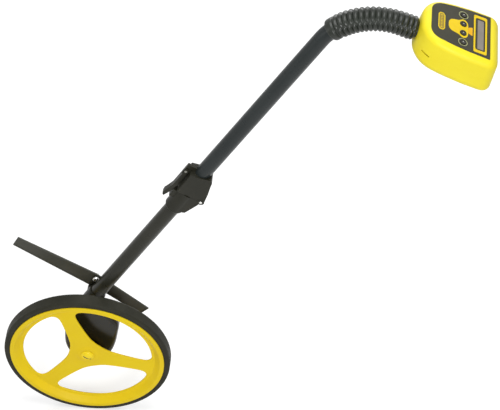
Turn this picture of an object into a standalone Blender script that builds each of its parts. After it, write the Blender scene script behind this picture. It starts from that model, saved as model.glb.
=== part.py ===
"""Measuring wheel: a road wheel, a folding pole, a ribbed grip and a display head."""
import math
import bmesh
import bpy
from mathutils import Matrix, Vector
from mathutils.geometry import convex_hull_2d

# Clearances and facet counts
GAP = 0.0003
WHEEL_STEPS = 56
TUBE_STEPS = 24
SMALL_STEPS = 16
SCREW_STEPS = 8
CORNER_STEPS = 3

# Wheel
RIM_R = 0.14806
TYRE_DEPTH = 0.01109
TYRE_R = RIM_R + TYRE_DEPTH
TYRE_HALF = 0.01305
TREAD_DROP = 0.0022
TREAD_TURN = 0.0032
RIM_HALF = 0.0145
CHANNEL_DEPTH = 0.0021
FLANGE = 0.0022
LIP_WIDTH = 0.00806
LIP_IN_R = RIM_R - LIP_WIDTH
BACK_LIP_WIDTH = 0.00486
RIM_BACK_R = RIM_R - BACK_LIP_WIDTH
RIM_WALL = 0.0022
SLOPE_WIDTH = 0.0130
DISH_R = LIP_IN_R - SLOPE_WIDTH
WEB_LOW = 0.0012
WEB_HIGH = 0.0045
WINDOW_MARGIN = 0.0030
WINDOW_R = DISH_R - WINDOW_MARGIN
WINDOW_SIDE_SHARES = ((0.960, 0.125), (0.750, 0.128), (0.500, 0.146), (0.290, 0.173))
WINDOW_OUT_ROUND = 0.0115
WINDOW_IN_ROUND = 0.0450
WINDOW_NEAR_SHARE = 0.285
SPOKE_ANGLE = math.radians(107.5)
SPOKES = 3
HUB_R = 0.0200
HUB_FOOT_R = 0.0260
HUB_HIGH = 0.0062
HUB_LOW = -0.0120
BUSH_R = 0.0095
BUSH_FLANGE_R = 0.0125
BUSH_FLANGE = 0.0015
BUSH_LENGTH = 0.0080
AXLE_R = 0.0050
CAP_R = 0.0120
CAP_RIM = 0.0012
CAP_DOME = 0.0030
CAP_WALL = 0.0014
MAGNET_R = 0.0190
MAGNET_WALL = 0.0040
MAGNET_THICK = 0.0025

# Pole
LEAN = math.radians(30.73)
POLE_OFFSET = 0.0507
POLE_BEHIND = 0.04194
TUBE_R = 0.01417
TUBE_WALL = 0.0016
TUBE_FOOT = 0.1060
FOLD_ALONG = 0.4720
FOLD_OUT = 0.0273
BEND_START = 0.9167
BEND_R = 0.1058
BEND_ANGLE = math.radians(81.57)
BEND_STEPS = 11

# Fold joint
SLEEVE_R = 0.0184
SLEEVE_BELOW = 0.0540
LOWER_SLEEVE_LOW = FOLD_ALONG - SLEEVE_BELOW
UPPER_ABOVE = 0.0610
EAR_HALF = 0.0168
KNUCKLE_HALF = 0.0075
KNUCKLE_R = 0.0065
LOWER_EAR_SHARES = ((0.20, -1.16), (0.50, -1.12), (0.65, -1.06), (0.98, -0.24), (0.96, -0.08), (0.90, 0),
                    (0.20, 0))
LOWER_EAR_LENGTH = 0.0380
UPPER_EAR_SHARES = ((-0.79, 0), (1.20, 0), (1.20, 0.05), (1.02, 0.39), (0.80, 0.70), (0.72, 0.84),
                    (0.58, 0.92), (-0.79, 0.75))
UPPER_EAR_LENGTH = 0.0640
FOLD_PIN_R = 0.0020
PIN_HEAD_R = 0.0030
PIN_HEAD = 0.0016
CATCH_IN = 0.0120
CATCH_OUT = 0.0242
CATCH_BELOW = 0.0260
CATCH_LENGTH = 0.0180
LATCH_ABOVE = 0.0430
LATCH_ALONG = FOLD_ALONG + LATCH_ABOVE
LATCH_OUT = 0.0285
LUG_HALF = 0.0026
LUG_BELOW = 0.0100
LUG_ABOVE = 0.0150
LUG_OUT = 0.0322
LATCH_PIN_R = 0.0018
LATCH_HEAD_R = 0.0026
LEVER_HALF = 0.0052
LEVER_LENGTH = 0.0770
LEVER_DEPTH = 0.0075
LEVER_SHARES = ((-0.13, 0.080), (-0.33, 0.025), (-0.33, -0.56), (-0.67, -0.74), (-1.00, -0.85),
                (-0.87, -0.96), (-0.40, -1.00), (0.07, -0.86), (0.47, -0.74), (0.53, -0.56), (0.80, -0.52),
                (0.80, -0.13), (0.53, -0.05), (0.53, 0.055))

# Grip
GRIP_R = 0.0207
GRIP_VALLEY_R = 0.0188
GRIP_COLLAR_R = 0.0194
GRIP_START_SHARE = 0.182
GRIP_COLLAR = 0.0120
RIBS = 16
GRIP_STEPS = 20

# Head, along the user's line, across and down from the face
HEAD_REACH = 0.1404
HEAD_RISE = 0.0351
HEAD_LENGTH = 0.1360
HEAD_END = 0.0171
HEAD_LEFT = HEAD_END - HEAD_LENGTH
HEAD_HALF = 0.0608
HEAD_DEPTH = 0.0680
HEAD_SHARES = ((0, 0.995), (-0.352, 0.990), (-0.595, 0.940), (-0.731, 0.885), (-0.814, 0.830), (-0.883, 0.730),
               (-0.936, 0.600), (-0.973, 0.440), (-1.00, 0.260))
HEAD_CORNER = 0.0170
HEAD_TOP_ROUND = 0.0135
HEAD_LOW_ROUND = 0.0150
HEAD_WALL = 0.0026
HEAD_SLANT_SHARE = 0.080
HEAD_FLARE_SHARE = 0.120
TUBE_IN_SHARE = 0.220
FACE_RECESS = 0.0013
FACE_THICK = 0.0010
FACE_PROUD = 0.0004
FACE_LENGTH = HEAD_LENGTH * 0.7757
FACE_HALF = 0.0503
FACE_SHARES = ((0, 1.00), (-0.34, 0.975), (-0.593, 0.925), (-0.756, 0.863), (-0.863, 0.815), (-0.92, 0.745),
               (-0.955, 0.680), (-0.987, 0.560), (-1.00, 0.440))
FACE_CORNER = 0.0015
PARTING = 0.0351
DISPLAY_MID = HEAD_LENGTH * 0.1331
FRAME_HALF_U = 0.0119
FRAME_HALF_V = 0.0435
LENS_HALF_U = 0.0069
LENS_HALF_V = 0.0355
LENS_CORNER = 0.0020
FRAME_CORNER = 0.0030
LENS_THICK = 0.0010
MODULE_THICK = 0.0040
MODULE_HALF_U = 0.0130
MODULE_HALF_V = 0.0380
BUTTON_U = HEAD_LENGTH * 0.3603
BUTTON_V_SHARES = (-1.0, -0.334, 0.334, 1.0)
BUTTON_SPREAD = 0.0318
BUTTON_R = 0.0058
BUTTON_PROUD = 0.0020
BUTTON_FLANGE_R = 0.0078
BUTTON_FLANGE = 0.0010
INLAY_LENGTH = HEAD_LENGTH * 0.2566
INLAY_HALF = 0.0220
INLAY_MID = HEAD_LENGTH * 0.4217
INLAY_SHARES = ((0.497, 0.36), (0.468, 0.73), (0.354, 0.93), (0.239, 1.00), (0.125, 0.886), (-0.004, 0.736),
                (-0.248, 0.66), (-0.390, 0.57), (-0.477, 0.386), (-0.506, 0.18))
BOARD_THICK = 0.0016
BOARD_LENGTH = HEAD_LENGTH * 0.5294
BOARD_MID = HEAD_LENGTH * 0.3088
BOARD_HALF = 0.0420
BOARD_DEPTH = 0.0110
BOARD_POST_R = 0.0018
BOARD_POST_SHARES = ((0.42, 0.957), (-0.36, 0.800))

# Battery bay
CELLS = 4
CELL_PITCH = HEAD_LENGTH * 0.1103
CELL_R = CELL_PITCH * 0.4733
CELL_HALF = 0.0250
TRAY_WALL = 0.0014
TRAY_HIGH = HEAD_DEPTH - CELL_R * 3
TRAY_MID = HEAD_LENGTH * 0.2941
TRAY_CLEAR = 0.0016
TRAY_FLANGE = 0.0060
CONTACT_THICK = 0.0006
DOOR_THICK = 0.0022
DOOR_MARGIN = 0.0030
BOSS_R = 0.0040
SCREW_R = 0.0014
SCREW_HEAD_R = 0.0030
SCREW_HEAD = 0.0020
SCREW_U_SHARES = (0, -0.630)
SCREW_V_SHARES = (0.720, 0.420)
SCREW_LENGTH = 0.0300

# Sensor housing
HOUSING_FRONT = -0.0155
HOUSING_SPLIT = -0.0330
HOUSING_BACK = -0.0500
HOUSING_X = 0.0040
HOUSING_Y = -0.0035
HOUSING_R = 0.0440
HOUSING_TOP = 0.1080
HOUSING_SHARES = ((1.30, 0.56), (1.29, 0.68), (0.80, 0.93), (0.50, 1.00), (-0.35, 1.00), (-0.80, 0.86),
                  (-1.06, 0.62), (-1.06, 0.38))
HOUSING_ROUND = 0.0090
HOUSING_WALL = 0.0030
SOCKET_R = 0.0172
SOCKET_LOW = 0.0960
SOCKET_HIGH = 0.1270
SOCKET_LIP = 0.0030
EAR_X = 0.0045
EAR_Y = 0.1260
EAR_R = 0.0056
EAR_FRONT = -0.0300
EAR_BACK = -0.0576
HOUSING_SCREW_R = 0.0016
HOUSING_SCREW_HEAD_R = 0.0034
HOUSING_SCREW_LENGTH = 0.0180
HOUSING_SCREW_SHARES = ((0.84, 0.20), (0.84, 1.55), (-0.66, 0.60))
SENSOR_HALF = 0.0150
SENSOR_THICK = 0.0016
AXLE_HEAD_R = 0.0085
AXLE_HEAD = 0.0050
AXLE_BOSS_R = 0.0120
NUT_R = 0.0080
NUT_THICK = 0.0036

# Kickstand
STAND_PIVOT_X = 0.0160
STAND_PIVOT_Y = 0.1520
STAND_FRONT = -0.0612
STAND_BACK = -0.0652
STAND_LENGTH = 0.1500
STAND_SHARES = ((-0.940, 0.653), (0.007, 0.051), (0.640, -0.553), (0.527, -0.667), (0.113, -0.310),
                (-0.207, -0.077), (-1.013, 0.513))
STAND_LIP = 0.0026
STAND_RECESS = 0.0010
STAND_EDGE = 0.0012
STAND_BOLT_R = 0.0025
STAND_BOLT_HEAD_R = 0.0060
STAND_BOLT_HEAD = 0.0034
STAND_NUT = 0.0030
STAND_NUT_R = 0.0045

# Frames
WHEEL_Z = TYRE_R * math.cos(math.pi / WHEEL_STEPS)
WHEEL_FRAME = Matrix.Translation((0, 0, WHEEL_Z)) @ Matrix.Rotation(math.pi / 2, 4, "X")
POLE_FOOT = (-POLE_OFFSET * math.cos(LEAN), POLE_BEHIND, WHEEL_Z + POLE_OFFSET * math.sin(LEAN))
POLE_FRAME = Matrix.Translation(POLE_FOOT) @ Matrix.Rotation(LEAN, 4, "Y")
BEND_END = (BEND_R * (1 - math.cos(BEND_ANGLE)), 0, BEND_START + BEND_R * math.sin(BEND_ANGLE))
HEAD_FRAME = (POLE_FRAME @ Matrix.Translation(BEND_END) @ Matrix.Rotation(BEND_ANGLE - math.pi / 2, 4, "Y")
              @ Matrix.Translation((HEAD_REACH, 0, HEAD_RISE)))
ACROSS = Matrix.Rotation(math.pi / 2, 4, "X")


# Scene set-up

def clear_scene():
    for obj in list(bpy.data.objects):
        bpy.data.objects.remove(obj)


def collection(name, hidden):
    made = bpy.data.collections.new(name)
    bpy.context.scene.collection.children.link(made)
    made.hide_render = hidden
    return made


def material(name, colour, rough, metal=0):
    made = bpy.data.materials.new(name)
    made.use_nodes = True
    shader = made.node_tree.nodes["Principled BSDF"]
    shader.inputs["Base Color"].default_value = (*colour, 1)
    shader.inputs["Roughness"].default_value = rough
    shader.inputs["Metallic"].default_value = metal
    made.diffuse_color = (*colour, 1)
    return made


clear_scene()
PARTS = collection("measuring_wheel", False)
CUTTERS = collection("cutters", True)
YELLOW = material("yellow_plastic", (0.83, 0.62, 0.02), 0.38)
BLACK = material("black_plastic", (0.045, 0.045, 0.038), 0.45)
COATED = material("black_coated_metal", (0.05, 0.05, 0.043), 0.35, 0.3)
RUBBER = material("black_rubber", (0.04, 0.042, 0.036), 0.75)
STEEL = material("bright_steel", (0.62, 0.62, 0.60), 0.3, 1)
FACE = material("panel_black", (0.06, 0.06, 0.05), 0.3)
GREY = material("display_grey", (0.25, 0.24, 0.22), 0.15)
BOARD = material("board_green", (0.03, 0.16, 0.07), 0.5)
CELL = material("cell_wrap", (0.12, 0.12, 0.13), 0.4)
BRONZE = material("bush_bronze", (0.45, 0.30, 0.13), 0.4, 1)
DARK = material("magnet_dark", (0.05, 0.05, 0.055), 0.5)


def keep(obj, name, look, frame, joint=None):
    """Puts a finished shape in the part, with its origin where the frame says."""
    obj.name = name
    obj.data.name = name
    obj.data.materials.clear()
    obj.data.materials.append(look)
    PARTS.objects.link(obj)
    obj.matrix_basis = frame
    if joint:
        obj.parent = joint
        obj.matrix_parent_inverse = joint.matrix_basis.inverted()
    return obj


def tool(obj, name, frame):
    """Puts a shape that cuts or joins in the hidden collection."""
    obj.name = name
    obj.display_type = "WIRE"
    obj.hide_render = True
    CUTTERS.objects.link(obj)
    obj.matrix_basis = frame
    return obj


def boolean(target, other, operation):
    step = target.modifiers.new(other.name, "BOOLEAN")
    step.operation = operation
    step.solver = "EXACT"
    step.object = other


def cut(target, *others):
    for other in others:
        boolean(target, other, "DIFFERENCE")


def join(target, *others):
    for other in others:
        boolean(target, other, "UNION")


def joint(name, frame):
    empty = bpy.data.objects.new(name, None)
    empty.empty_display_size = TUBE_R
    PARTS.objects.link(empty)
    empty.matrix_basis = frame
    return empty


# Shapes

def from_bmesh(shape, smooth=False):
    bmesh.ops.recalc_face_normals(shape, faces=shape.faces)
    mesh = bpy.data.meshes.new("shape")
    shape.to_mesh(mesh)
    shape.free()
    for face in mesh.polygons:
        face.use_smooth = smooth
    return bpy.data.objects.new("shape", mesh)


def moved(obj, matrix):
    """Moves the points of a shape inside its own frame."""
    obj.data.transform(matrix)
    return obj


def turned(profile, steps, closed=False):
    """A profile at +X turned about Z, from top to bottom on its outer side."""
    points = [(r, 0, z) for r, z in profile]
    edges = [(i, i + 1) for i in range(len(points) - 1)]
    if closed:
        edges.append((len(points) - 1, 0))
    mesh = bpy.data.meshes.new("shape")
    mesh.from_pydata(points, edges, [])
    obj = bpy.data.objects.new("shape", mesh)
    screw = obj.modifiers.new("turn", "SCREW")
    screw.steps = steps
    screw.render_steps = steps
    screw.use_merge_vertices = True
    screw.merge_threshold = 0.00001
    screw.use_smooth_shade = True
    return obj


def prism(outline, low, high, round_low=0, round_high=0):
    """An outline in the flat, drawn from low to high, with its end edges rounded."""
    shape = bmesh.new()
    base = shape.faces.new([shape.verts.new((x, y, low)) for x, y in outline])
    drawn = bmesh.ops.extrude_face_region(shape, geom=[base])["geom"]
    lifted = [v for v in drawn if isinstance(v, bmesh.types.BMVert)]
    bmesh.ops.translate(shape, vec=(0, 0, high - low), verts=lifted)
    for level, width in ((low, round_low), (high, round_high)):
        if width:
            ring = [e for e in shape.edges if all(abs(v.co.z - level) < GAP / 100 for v in e.verts)]
            bmesh.ops.bevel(shape, geom=ring, offset=width, offset_type="OFFSET", segments=CORNER_STEPS,
                            profile=0.5, affect="EDGES")
    return from_bmesh(shape)


def box(low, high):
    shape = bmesh.new()
    size = [b - a for a, b in zip(low, high)]
    middle = [(a + b) / 2 for a, b in zip(low, high)]
    bmesh.ops.create_cube(shape, size=1, matrix=Matrix.Translation(middle) @ Matrix.Diagonal((*size, 1)))
    return from_bmesh(shape)


def rod(radius, low, high, steps=SMALL_STEPS, top_radius=None):
    shape = bmesh.new()
    top = radius if top_radius is None else top_radius
    bmesh.ops.create_cone(shape, cap_ends=True, segments=steps, radius1=radius, radius2=top, depth=high - low,
                          matrix=Matrix.Translation((0, 0, (low + high) / 2)))
    return from_bmesh(shape)


def headed(radius, length, head_radius, head, steps=SCREW_STEPS):
    """A pin or screw: its head sits above zero and its shank runs down."""
    return turned(((0, head), (head_radius * 0.8, head), (head_radius, head * 0.7), (head_radius, 0),
                   (radius, 0), (radius, -length), (0, -length)), steps)


def ring(outer, inner, low, high, steps=SMALL_STEPS):
    return turned(((outer, high), (outer, low), (inner, low), (inner, high)), steps, True)


def rounded(corners, radius):
    """The outline with each corner replaced by an arc."""
    outline = []
    count = len(corners)
    for i, corner in enumerate(corners):
        here = Vector(corner)
        size = radius[i] if isinstance(radius, (list, tuple)) else radius
        if not size:
            outline.append(tuple(here))
            continue
        back = (Vector(corners[i - 1]) - here).normalized()
        ahead = (Vector(corners[(i + 1) % count]) - here).normalized()
        half = back.angle(ahead) / 2
        middle = here + (back + ahead).normalized() * size / math.sin(half)
        start = here + back * size / math.tan(half) - middle
        end = here + ahead * size / math.tan(half) - middle
        swing = start.angle_signed(end)
        for step in range(CORNER_STEPS + 1):
            turn = Matrix.Rotation(-swing * step / CORNER_STEPS, 2)
            outline.append(tuple(middle + turn @ start))
    return outline


def rectangle(half_x, half_y, x=0, y=0):
    signs = ((-1, -1), (1, -1), (1, 1), (-1, 1))
    return [(x + half_x * a, y + half_y * b) for a, b in signs]


def circle(radius, steps=SMALL_STEPS, x=0, y=0):
    turns = [2 * math.pi * i / steps for i in range(steps)]
    return [(x + radius * math.cos(t), y + radius * math.sin(t)) for t in turns]


def mirrored(half):
    """A closed outline from its upper half, drawn from the user end to the grip end."""
    return half + [(x, -y) for x, y in reversed(half)]


def swept(stations, steps):
    """A tube skin through stations of (place, turn, radius) in the pole's frame, closed at both ends."""
    shape = bmesh.new()
    rings = []
    for x, z, turn, radius in stations:
        place = Matrix.Translation((x, 0, z)) @ Matrix.Rotation(turn, 4, "Y")
        rings.append([shape.verts.new(place @ Vector((a, b, 0))) for a, b in circle(radius, steps)])
    for low, high in zip(rings, rings[1:]):
        for i in range(steps):
            j = (i + 1) % steps
            shape.faces.new((low[i], low[j], high[j], high[i]))
    shape.faces.new(list(reversed(rings[0])))
    shape.faces.new(rings[-1])
    return from_bmesh(shape, True)


def pole_point(along):
    """Place and turn on the upper tube's axis at a length along the pole."""
    bend_length = BEND_R * BEND_ANGLE
    if along <= BEND_START:
        return 0, along, 0
    if along <= BEND_START + bend_length:
        turn = (along - BEND_START) / BEND_R
        return BEND_R * (1 - math.cos(turn)), BEND_START + BEND_R * math.sin(turn), turn
    past = along - BEND_START - bend_length
    return BEND_END[0] + past * math.sin(BEND_ANGLE), BEND_END[2] + past * math.cos(BEND_ANGLE), BEND_ANGLE


# Wheel

def window_outline(angle):
    """One wheel window between the spoke at this angle and the next spoke."""
    step = 2 * math.pi / SPOKES
    side = [(a * WINDOW_R, b * WINDOW_R) for a, b in WINDOW_SIDE_SHARES]
    corner = math.asin(WINDOW_SIDE_SHARES[0][1])
    corners = [Matrix.Rotation(angle, 2) @ Vector(p) for p in reversed(side[1:])]
    radii = [WINDOW_IN_ROUND] + [0 for _ in side[2:]]
    arc_steps = 8
    for i in range(arc_steps + 1):
        turn = angle + corner + (step - 2 * corner) * i / arc_steps
        corners.append(Vector((WINDOW_R * math.cos(turn), WINDOW_R * math.sin(turn))))
        radii.append(WINDOW_OUT_ROUND if i in (0, arc_steps) else 0)
    far = [Vector((x, -y)) for x, y in side[1:]]
    corners += [Matrix.Rotation(angle + step, 2) @ p for p in far]
    radii += [0 for _ in far[1:]] + [WINDOW_IN_ROUND]
    reach = WINDOW_R * WINDOW_NEAR_SHARE
    middle = angle + step / 2
    corners.append(Vector((reach * math.cos(middle), reach * math.sin(middle))))
    radii.append(0)
    return rounded(corners, radii)


def spin():
    return Matrix.Rotation(math.pi / WHEEL_STEPS, 4, "Z")


def wheel(axis):
    floor = RIM_R - CHANNEL_DEPTH
    channel = RIM_HALF - FLANGE
    profile = ((RIM_R, RIM_HALF), (RIM_R, channel), (floor, channel), (floor, -channel), (RIM_R, -channel),
               (RIM_R, -RIM_HALF), (RIM_BACK_R, -RIM_HALF), (RIM_BACK_R - RIM_WALL, WEB_LOW),
               (HUB_FOOT_R, WEB_LOW), (HUB_R, WEB_LOW - (HUB_FOOT_R - HUB_R)), (HUB_R, HUB_LOW),
               (BUSH_R + GAP, HUB_LOW), (BUSH_R + GAP, HUB_HIGH), (HUB_R, HUB_HIGH), (HUB_FOOT_R, WEB_HIGH),
               (DISH_R, WEB_HIGH), (LIP_IN_R, RIM_HALF))
    rim = turned(profile, WHEEL_STEPS, True)
    keep(rim, "wheel_rim", YELLOW, WHEEL_FRAME @ spin(), axis)
    for i in range(SPOKES):
        hole = prism(window_outline(SPOKE_ANGLE + 2 * math.pi * i / SPOKES), -RIM_HALF, RIM_HALF)
        cut(rim, tool(hole, f"cut_window_{i}", WHEEL_FRAME))
    outer = TYRE_R
    shoulder = outer - TREAD_DROP
    seat = floor + GAP
    inner_half = channel - GAP
    bead = RIM_R + GAP
    tyre = turned(((outer, TYRE_HALF - TREAD_TURN), (outer, TREAD_TURN - TYRE_HALF),
                   (shoulder, -TYRE_HALF), (bead, -TYRE_HALF), (bead, -inner_half), (seat, -inner_half),
                   (seat, inner_half), (bead, inner_half), (bead, TYRE_HALF), (shoulder, TYRE_HALF)),
                  WHEEL_STEPS, True)
    keep(tyre, "tyre", RUBBER, WHEEL_FRAME @ spin(), axis)
    cap = turned(((0, CAP_RIM + CAP_DOME), (CAP_R * 0.55, CAP_RIM + CAP_DOME * 0.72),
                  (CAP_R * 0.88, CAP_RIM + CAP_DOME * 0.25), (CAP_R, 0), (CAP_R - CAP_WALL, 0),
                  (CAP_R * 0.5, CAP_RIM + CAP_DOME * 0.75 - CAP_WALL), (0, CAP_RIM + CAP_DOME - CAP_WALL)),
                 TUBE_STEPS)
    keep(cap, "hub_cap", YELLOW, WHEEL_FRAME @ Matrix.Translation((0, 0, HUB_HIGH + GAP)), axis)
    bush = ((BUSH_FLANGE_R * 0.9, 0), (BUSH_FLANGE_R * 0.9, -BUSH_FLANGE), (BUSH_R, -BUSH_FLANGE),
            (BUSH_R, -BUSH_LENGTH), (AXLE_R + GAP, -BUSH_LENGTH), (AXLE_R + GAP, 0))
    low = Matrix.Translation((0, 0, HUB_LOW - GAP - BUSH_FLANGE)) @ Matrix.Rotation(math.pi, 4, "X")
    keep(turned(bush, TUBE_STEPS, True), "bush_back", BRONZE, WHEEL_FRAME @ low, axis)
    plain = ring(BUSH_R, AXLE_R + GAP, -BUSH_LENGTH, 0, TUBE_STEPS)
    keep(plain, "bush_front", BRONZE, WHEEL_FRAME @ Matrix.Translation((0, 0, HUB_HIGH - NUT_THICK)), axis)
    magnet = ring(MAGNET_R, MAGNET_R - MAGNET_WALL, -MAGNET_THICK, 0, TUBE_STEPS)
    keep(magnet, "magnet_ring", DARK, WHEEL_FRAME @ Matrix.Translation((0, 0, HUB_LOW - GAP)), axis)


def axle():
    end = HUB_HIGH - GAP
    start = HOUSING_BACK - GAP
    bolt = turned(((0, end), (AXLE_R, end), (AXLE_R, start), (AXLE_HEAD_R, start),
                   (AXLE_HEAD_R, start - AXLE_HEAD), (0, start - AXLE_HEAD)), TUBE_STEPS)
    keep(bolt, "axle_bolt", STEEL, WHEEL_FRAME)
    seat = HOUSING_FRONT + GAP
    washer = ring(BUSH_FLANGE_R, AXLE_R + GAP, seat, seat + BUSH_FLANGE / 2, TUBE_STEPS)
    keep(washer, "axle_washer", STEEL, WHEEL_FRAME)
    clip = ring(NUT_R, AXLE_R + GAP, HUB_HIGH - NUT_THICK + GAP, HUB_HIGH - GAP * 2)
    keep(clip, "axle_nut", STEEL, WHEEL_FRAME)


# Sensor housing and pole socket

def housing_outline(inset=0):
    """The tongue: a round bottom about the housing centre, flaring to a sloped top."""
    radius = HOUSING_R - inset
    turns = 12
    bottom = [(HOUSING_X + radius * math.cos(t), HOUSING_Y + radius * math.sin(t))
              for t in (-math.pi + math.pi * i / turns for i in range(turns + 1))]
    span = HOUSING_TOP - HOUSING_Y
    upper = [(HOUSING_X + (radius * a), HOUSING_Y + (span - inset) * b) for a, b in HOUSING_SHARES]
    return bottom + upper


def sensor_housing():
    round_edge = HOUSING_ROUND
    front = prism(housing_outline(), HOUSING_SPLIT, HOUSING_FRONT, 0, round_edge)
    keep(front, "sensor_housing", BLACK, WHEEL_FRAME)
    room = prism(housing_outline(HOUSING_WALL), HOUSING_SPLIT - HOUSING_WALL, HOUSING_FRONT - HOUSING_WALL, 0,
                 round_edge - HOUSING_WALL)
    cut(front, tool(room, "cut_housing_room", WHEEL_FRAME))
    back = prism(housing_outline(), HOUSING_BACK, HOUSING_SPLIT - GAP, round_edge / 2, 0)
    keep(back, "housing_cover", BLACK, WHEEL_FRAME)
    room = prism(housing_outline(HOUSING_WALL), HOUSING_BACK + HOUSING_WALL, HOUSING_SPLIT + HOUSING_WALL)
    cut(back, tool(room, "cut_cover_room", WHEEL_FRAME))
    boss = rod(AXLE_BOSS_R, HOUSING_SPLIT, HOUSING_FRONT - HOUSING_WALL / 2)
    join(front, tool(boss, "join_axle_boss", WHEEL_FRAME))
    boss = rod(AXLE_BOSS_R, HOUSING_BACK + HOUSING_WALL / 2, HOUSING_SPLIT - GAP)
    join(back, tool(boss, "join_cover_boss", WHEEL_FRAME))
    bore = rod(AXLE_R + GAP, HOUSING_BACK * 2, -HOUSING_FRONT, TUBE_STEPS)
    tool(bore, "cut_axle", WHEEL_FRAME)
    cut(front, bore)
    cut(back, bore)
    socket_room = rod(SOCKET_R + GAP, SOCKET_LOW - GAP, SOCKET_HIGH * 2, TUBE_STEPS)
    tool(socket_room, "cut_socket_room", POLE_FRAME)
    cut(front, socket_room)
    cut(back, socket_room)
    for i, (a, b) in enumerate(HOUSING_SCREW_SHARES):
        place = Matrix.Translation((HOUSING_X + HOUSING_R * a * 0.86, HOUSING_Y + HOUSING_R * b, HOUSING_BACK))
        shape = rod(HOUSING_SCREW_HEAD_R + HOUSING_WALL / 2, GAP * 2, HOUSING_SPLIT - GAP - HOUSING_BACK)
        join(back, tool(shape, f"join_cover_post_{i}", WHEEL_FRAME @ place))
        shape = rod(HOUSING_SCREW_HEAD_R + HOUSING_WALL / 2, HOUSING_SPLIT - HOUSING_BACK,
                    HOUSING_FRONT - HOUSING_WALL / 2 - HOUSING_BACK)
        join(front, tool(shape, f"join_housing_post_{i}", WHEEL_FRAME @ place))
    for i, (a, b) in enumerate(HOUSING_SCREW_SHARES):
        place = Matrix.Translation((HOUSING_X + HOUSING_R * a * 0.86, HOUSING_Y + HOUSING_R * b, HOUSING_BACK))
        hole = rod(HOUSING_SCREW_R + GAP, -GAP, HOUSING_SCREW_LENGTH + HOUSING_WALL)
        tool(hole, f"cut_housing_screw_{i}", WHEEL_FRAME @ place)
        cut(back, hole)
        cut(front, hole)
        turn = Matrix.Translation((0, 0, -GAP)) @ Matrix.Rotation(math.pi, 4, "X")
        screw = headed(HOUSING_SCREW_R, HOUSING_SCREW_LENGTH, HOUSING_SCREW_HEAD_R, SCREW_HEAD)
        keep(screw, f"housing_screw_{i + 1}", STEEL, WHEEL_FRAME @ place @ turn)
    outer = AXLE_BOSS_R + GAP
    board = prism(rectangle(SENSOR_HALF, SENSOR_HALF, 0, 0), 0, SENSOR_THICK)
    keep(board, "sensor_board", BOARD,
         WHEEL_FRAME @ Matrix.Translation((0, 0, HOUSING_FRONT - HOUSING_WALL - GAP - SENSOR_THICK)))
    hole = rod(outer, HOUSING_SPLIT, 0)
    cut(board, tool(hole, "cut_sensor_board", WHEEL_FRAME))


def pole_place(across, along):
    """A place beside the pole axis, in the flat of the wheel frame."""
    x = -POLE_OFFSET * math.cos(LEAN) + along * math.sin(LEAN) + across * math.cos(LEAN)
    y = POLE_OFFSET * math.sin(LEAN) + along * math.cos(LEAN) - across * math.sin(LEAN)
    return x, y


def pole_socket():
    profile = ((0, SOCKET_HIGH), (SOCKET_R - SOCKET_LIP / 2, SOCKET_HIGH),
               (SOCKET_R, SOCKET_HIGH - SOCKET_LIP), (SOCKET_R, SOCKET_LOW), (0, SOCKET_LOW))
    socket = turned(profile, TUBE_STEPS)
    keep(socket, "pole_socket", BLACK, POLE_FRAME)
    ear = prism(circle(EAR_R, SMALL_STEPS, EAR_X, EAR_Y), EAR_BACK, EAR_FRONT, 0, EAR_R / 4)
    join(socket, tool(ear, "join_socket_ear", WHEEL_FRAME))
    spots = [pole_place(side * SOCKET_R / 2, along) for side in (-1, 1) for along in (SOCKET_LOW, SOCKET_HIGH)]
    spots += circle(EAR_R, SMALL_STEPS, EAR_X, EAR_Y)
    spots += circle(EAR_R, SMALL_STEPS, STAND_PIVOT_X, STAND_PIVOT_Y)
    plate = prism([spots[i] for i in convex_hull_2d(spots)], STAND_FRONT + GAP * 2, EAR_BACK + GAP)
    join(socket, tool(plate, "join_stand_plate", WHEEL_FRAME))
    bore = rod(TUBE_R + GAP, TUBE_FOOT - GAP, SOCKET_HIGH * 2, TUBE_STEPS)
    cut(socket, tool(bore, "cut_socket_bore", POLE_FRAME))
    hole = prism(circle(STAND_BOLT_R + GAP, SMALL_STEPS, STAND_PIVOT_X, STAND_PIVOT_Y), STAND_BACK, EAR_FRONT)
    cut(socket, tool(hole, "cut_stand_hole", WHEEL_FRAME))


# Pole

def tube(name, low, high, holder):
    stops = [low]
    if high > BEND_START:
        bend_end = BEND_START + BEND_R * BEND_ANGLE
        stops += [BEND_START + (bend_end - BEND_START) * i / BEND_STEPS for i in range(BEND_STEPS + 1)]
    stops.append(high)
    outer = swept([(*pole_point(s), TUBE_R) for s in stops], TUBE_STEPS)
    keep(outer, name, COATED, POLE_FRAME, holder)
    bore_stops = [low - TUBE_WALL, *stops[1:-1], high + TUBE_WALL]
    bore = swept([(*pole_point(s), TUBE_R - TUBE_WALL) for s in bore_stops], TUBE_STEPS)
    cut(outer, tool(bore, "cut_" + name, POLE_FRAME))
    return outer


def ear_block(shares, length, half, base):
    """A block between the pole axis and the fold pin, drawn in shares of the pin distance and a length."""
    corners = [(FOLD_OUT * a, base + length * b) for a, b in shares]
    return moved(prism(corners, -half, half), ACROSS)


def barrel(name, radius, half, out, along):
    shape = moved(rod(radius, -half, half, TUBE_STEPS), ACROSS)
    return tool(shape, name, POLE_FRAME @ Matrix.Translation((out, 0, along)))


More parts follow.
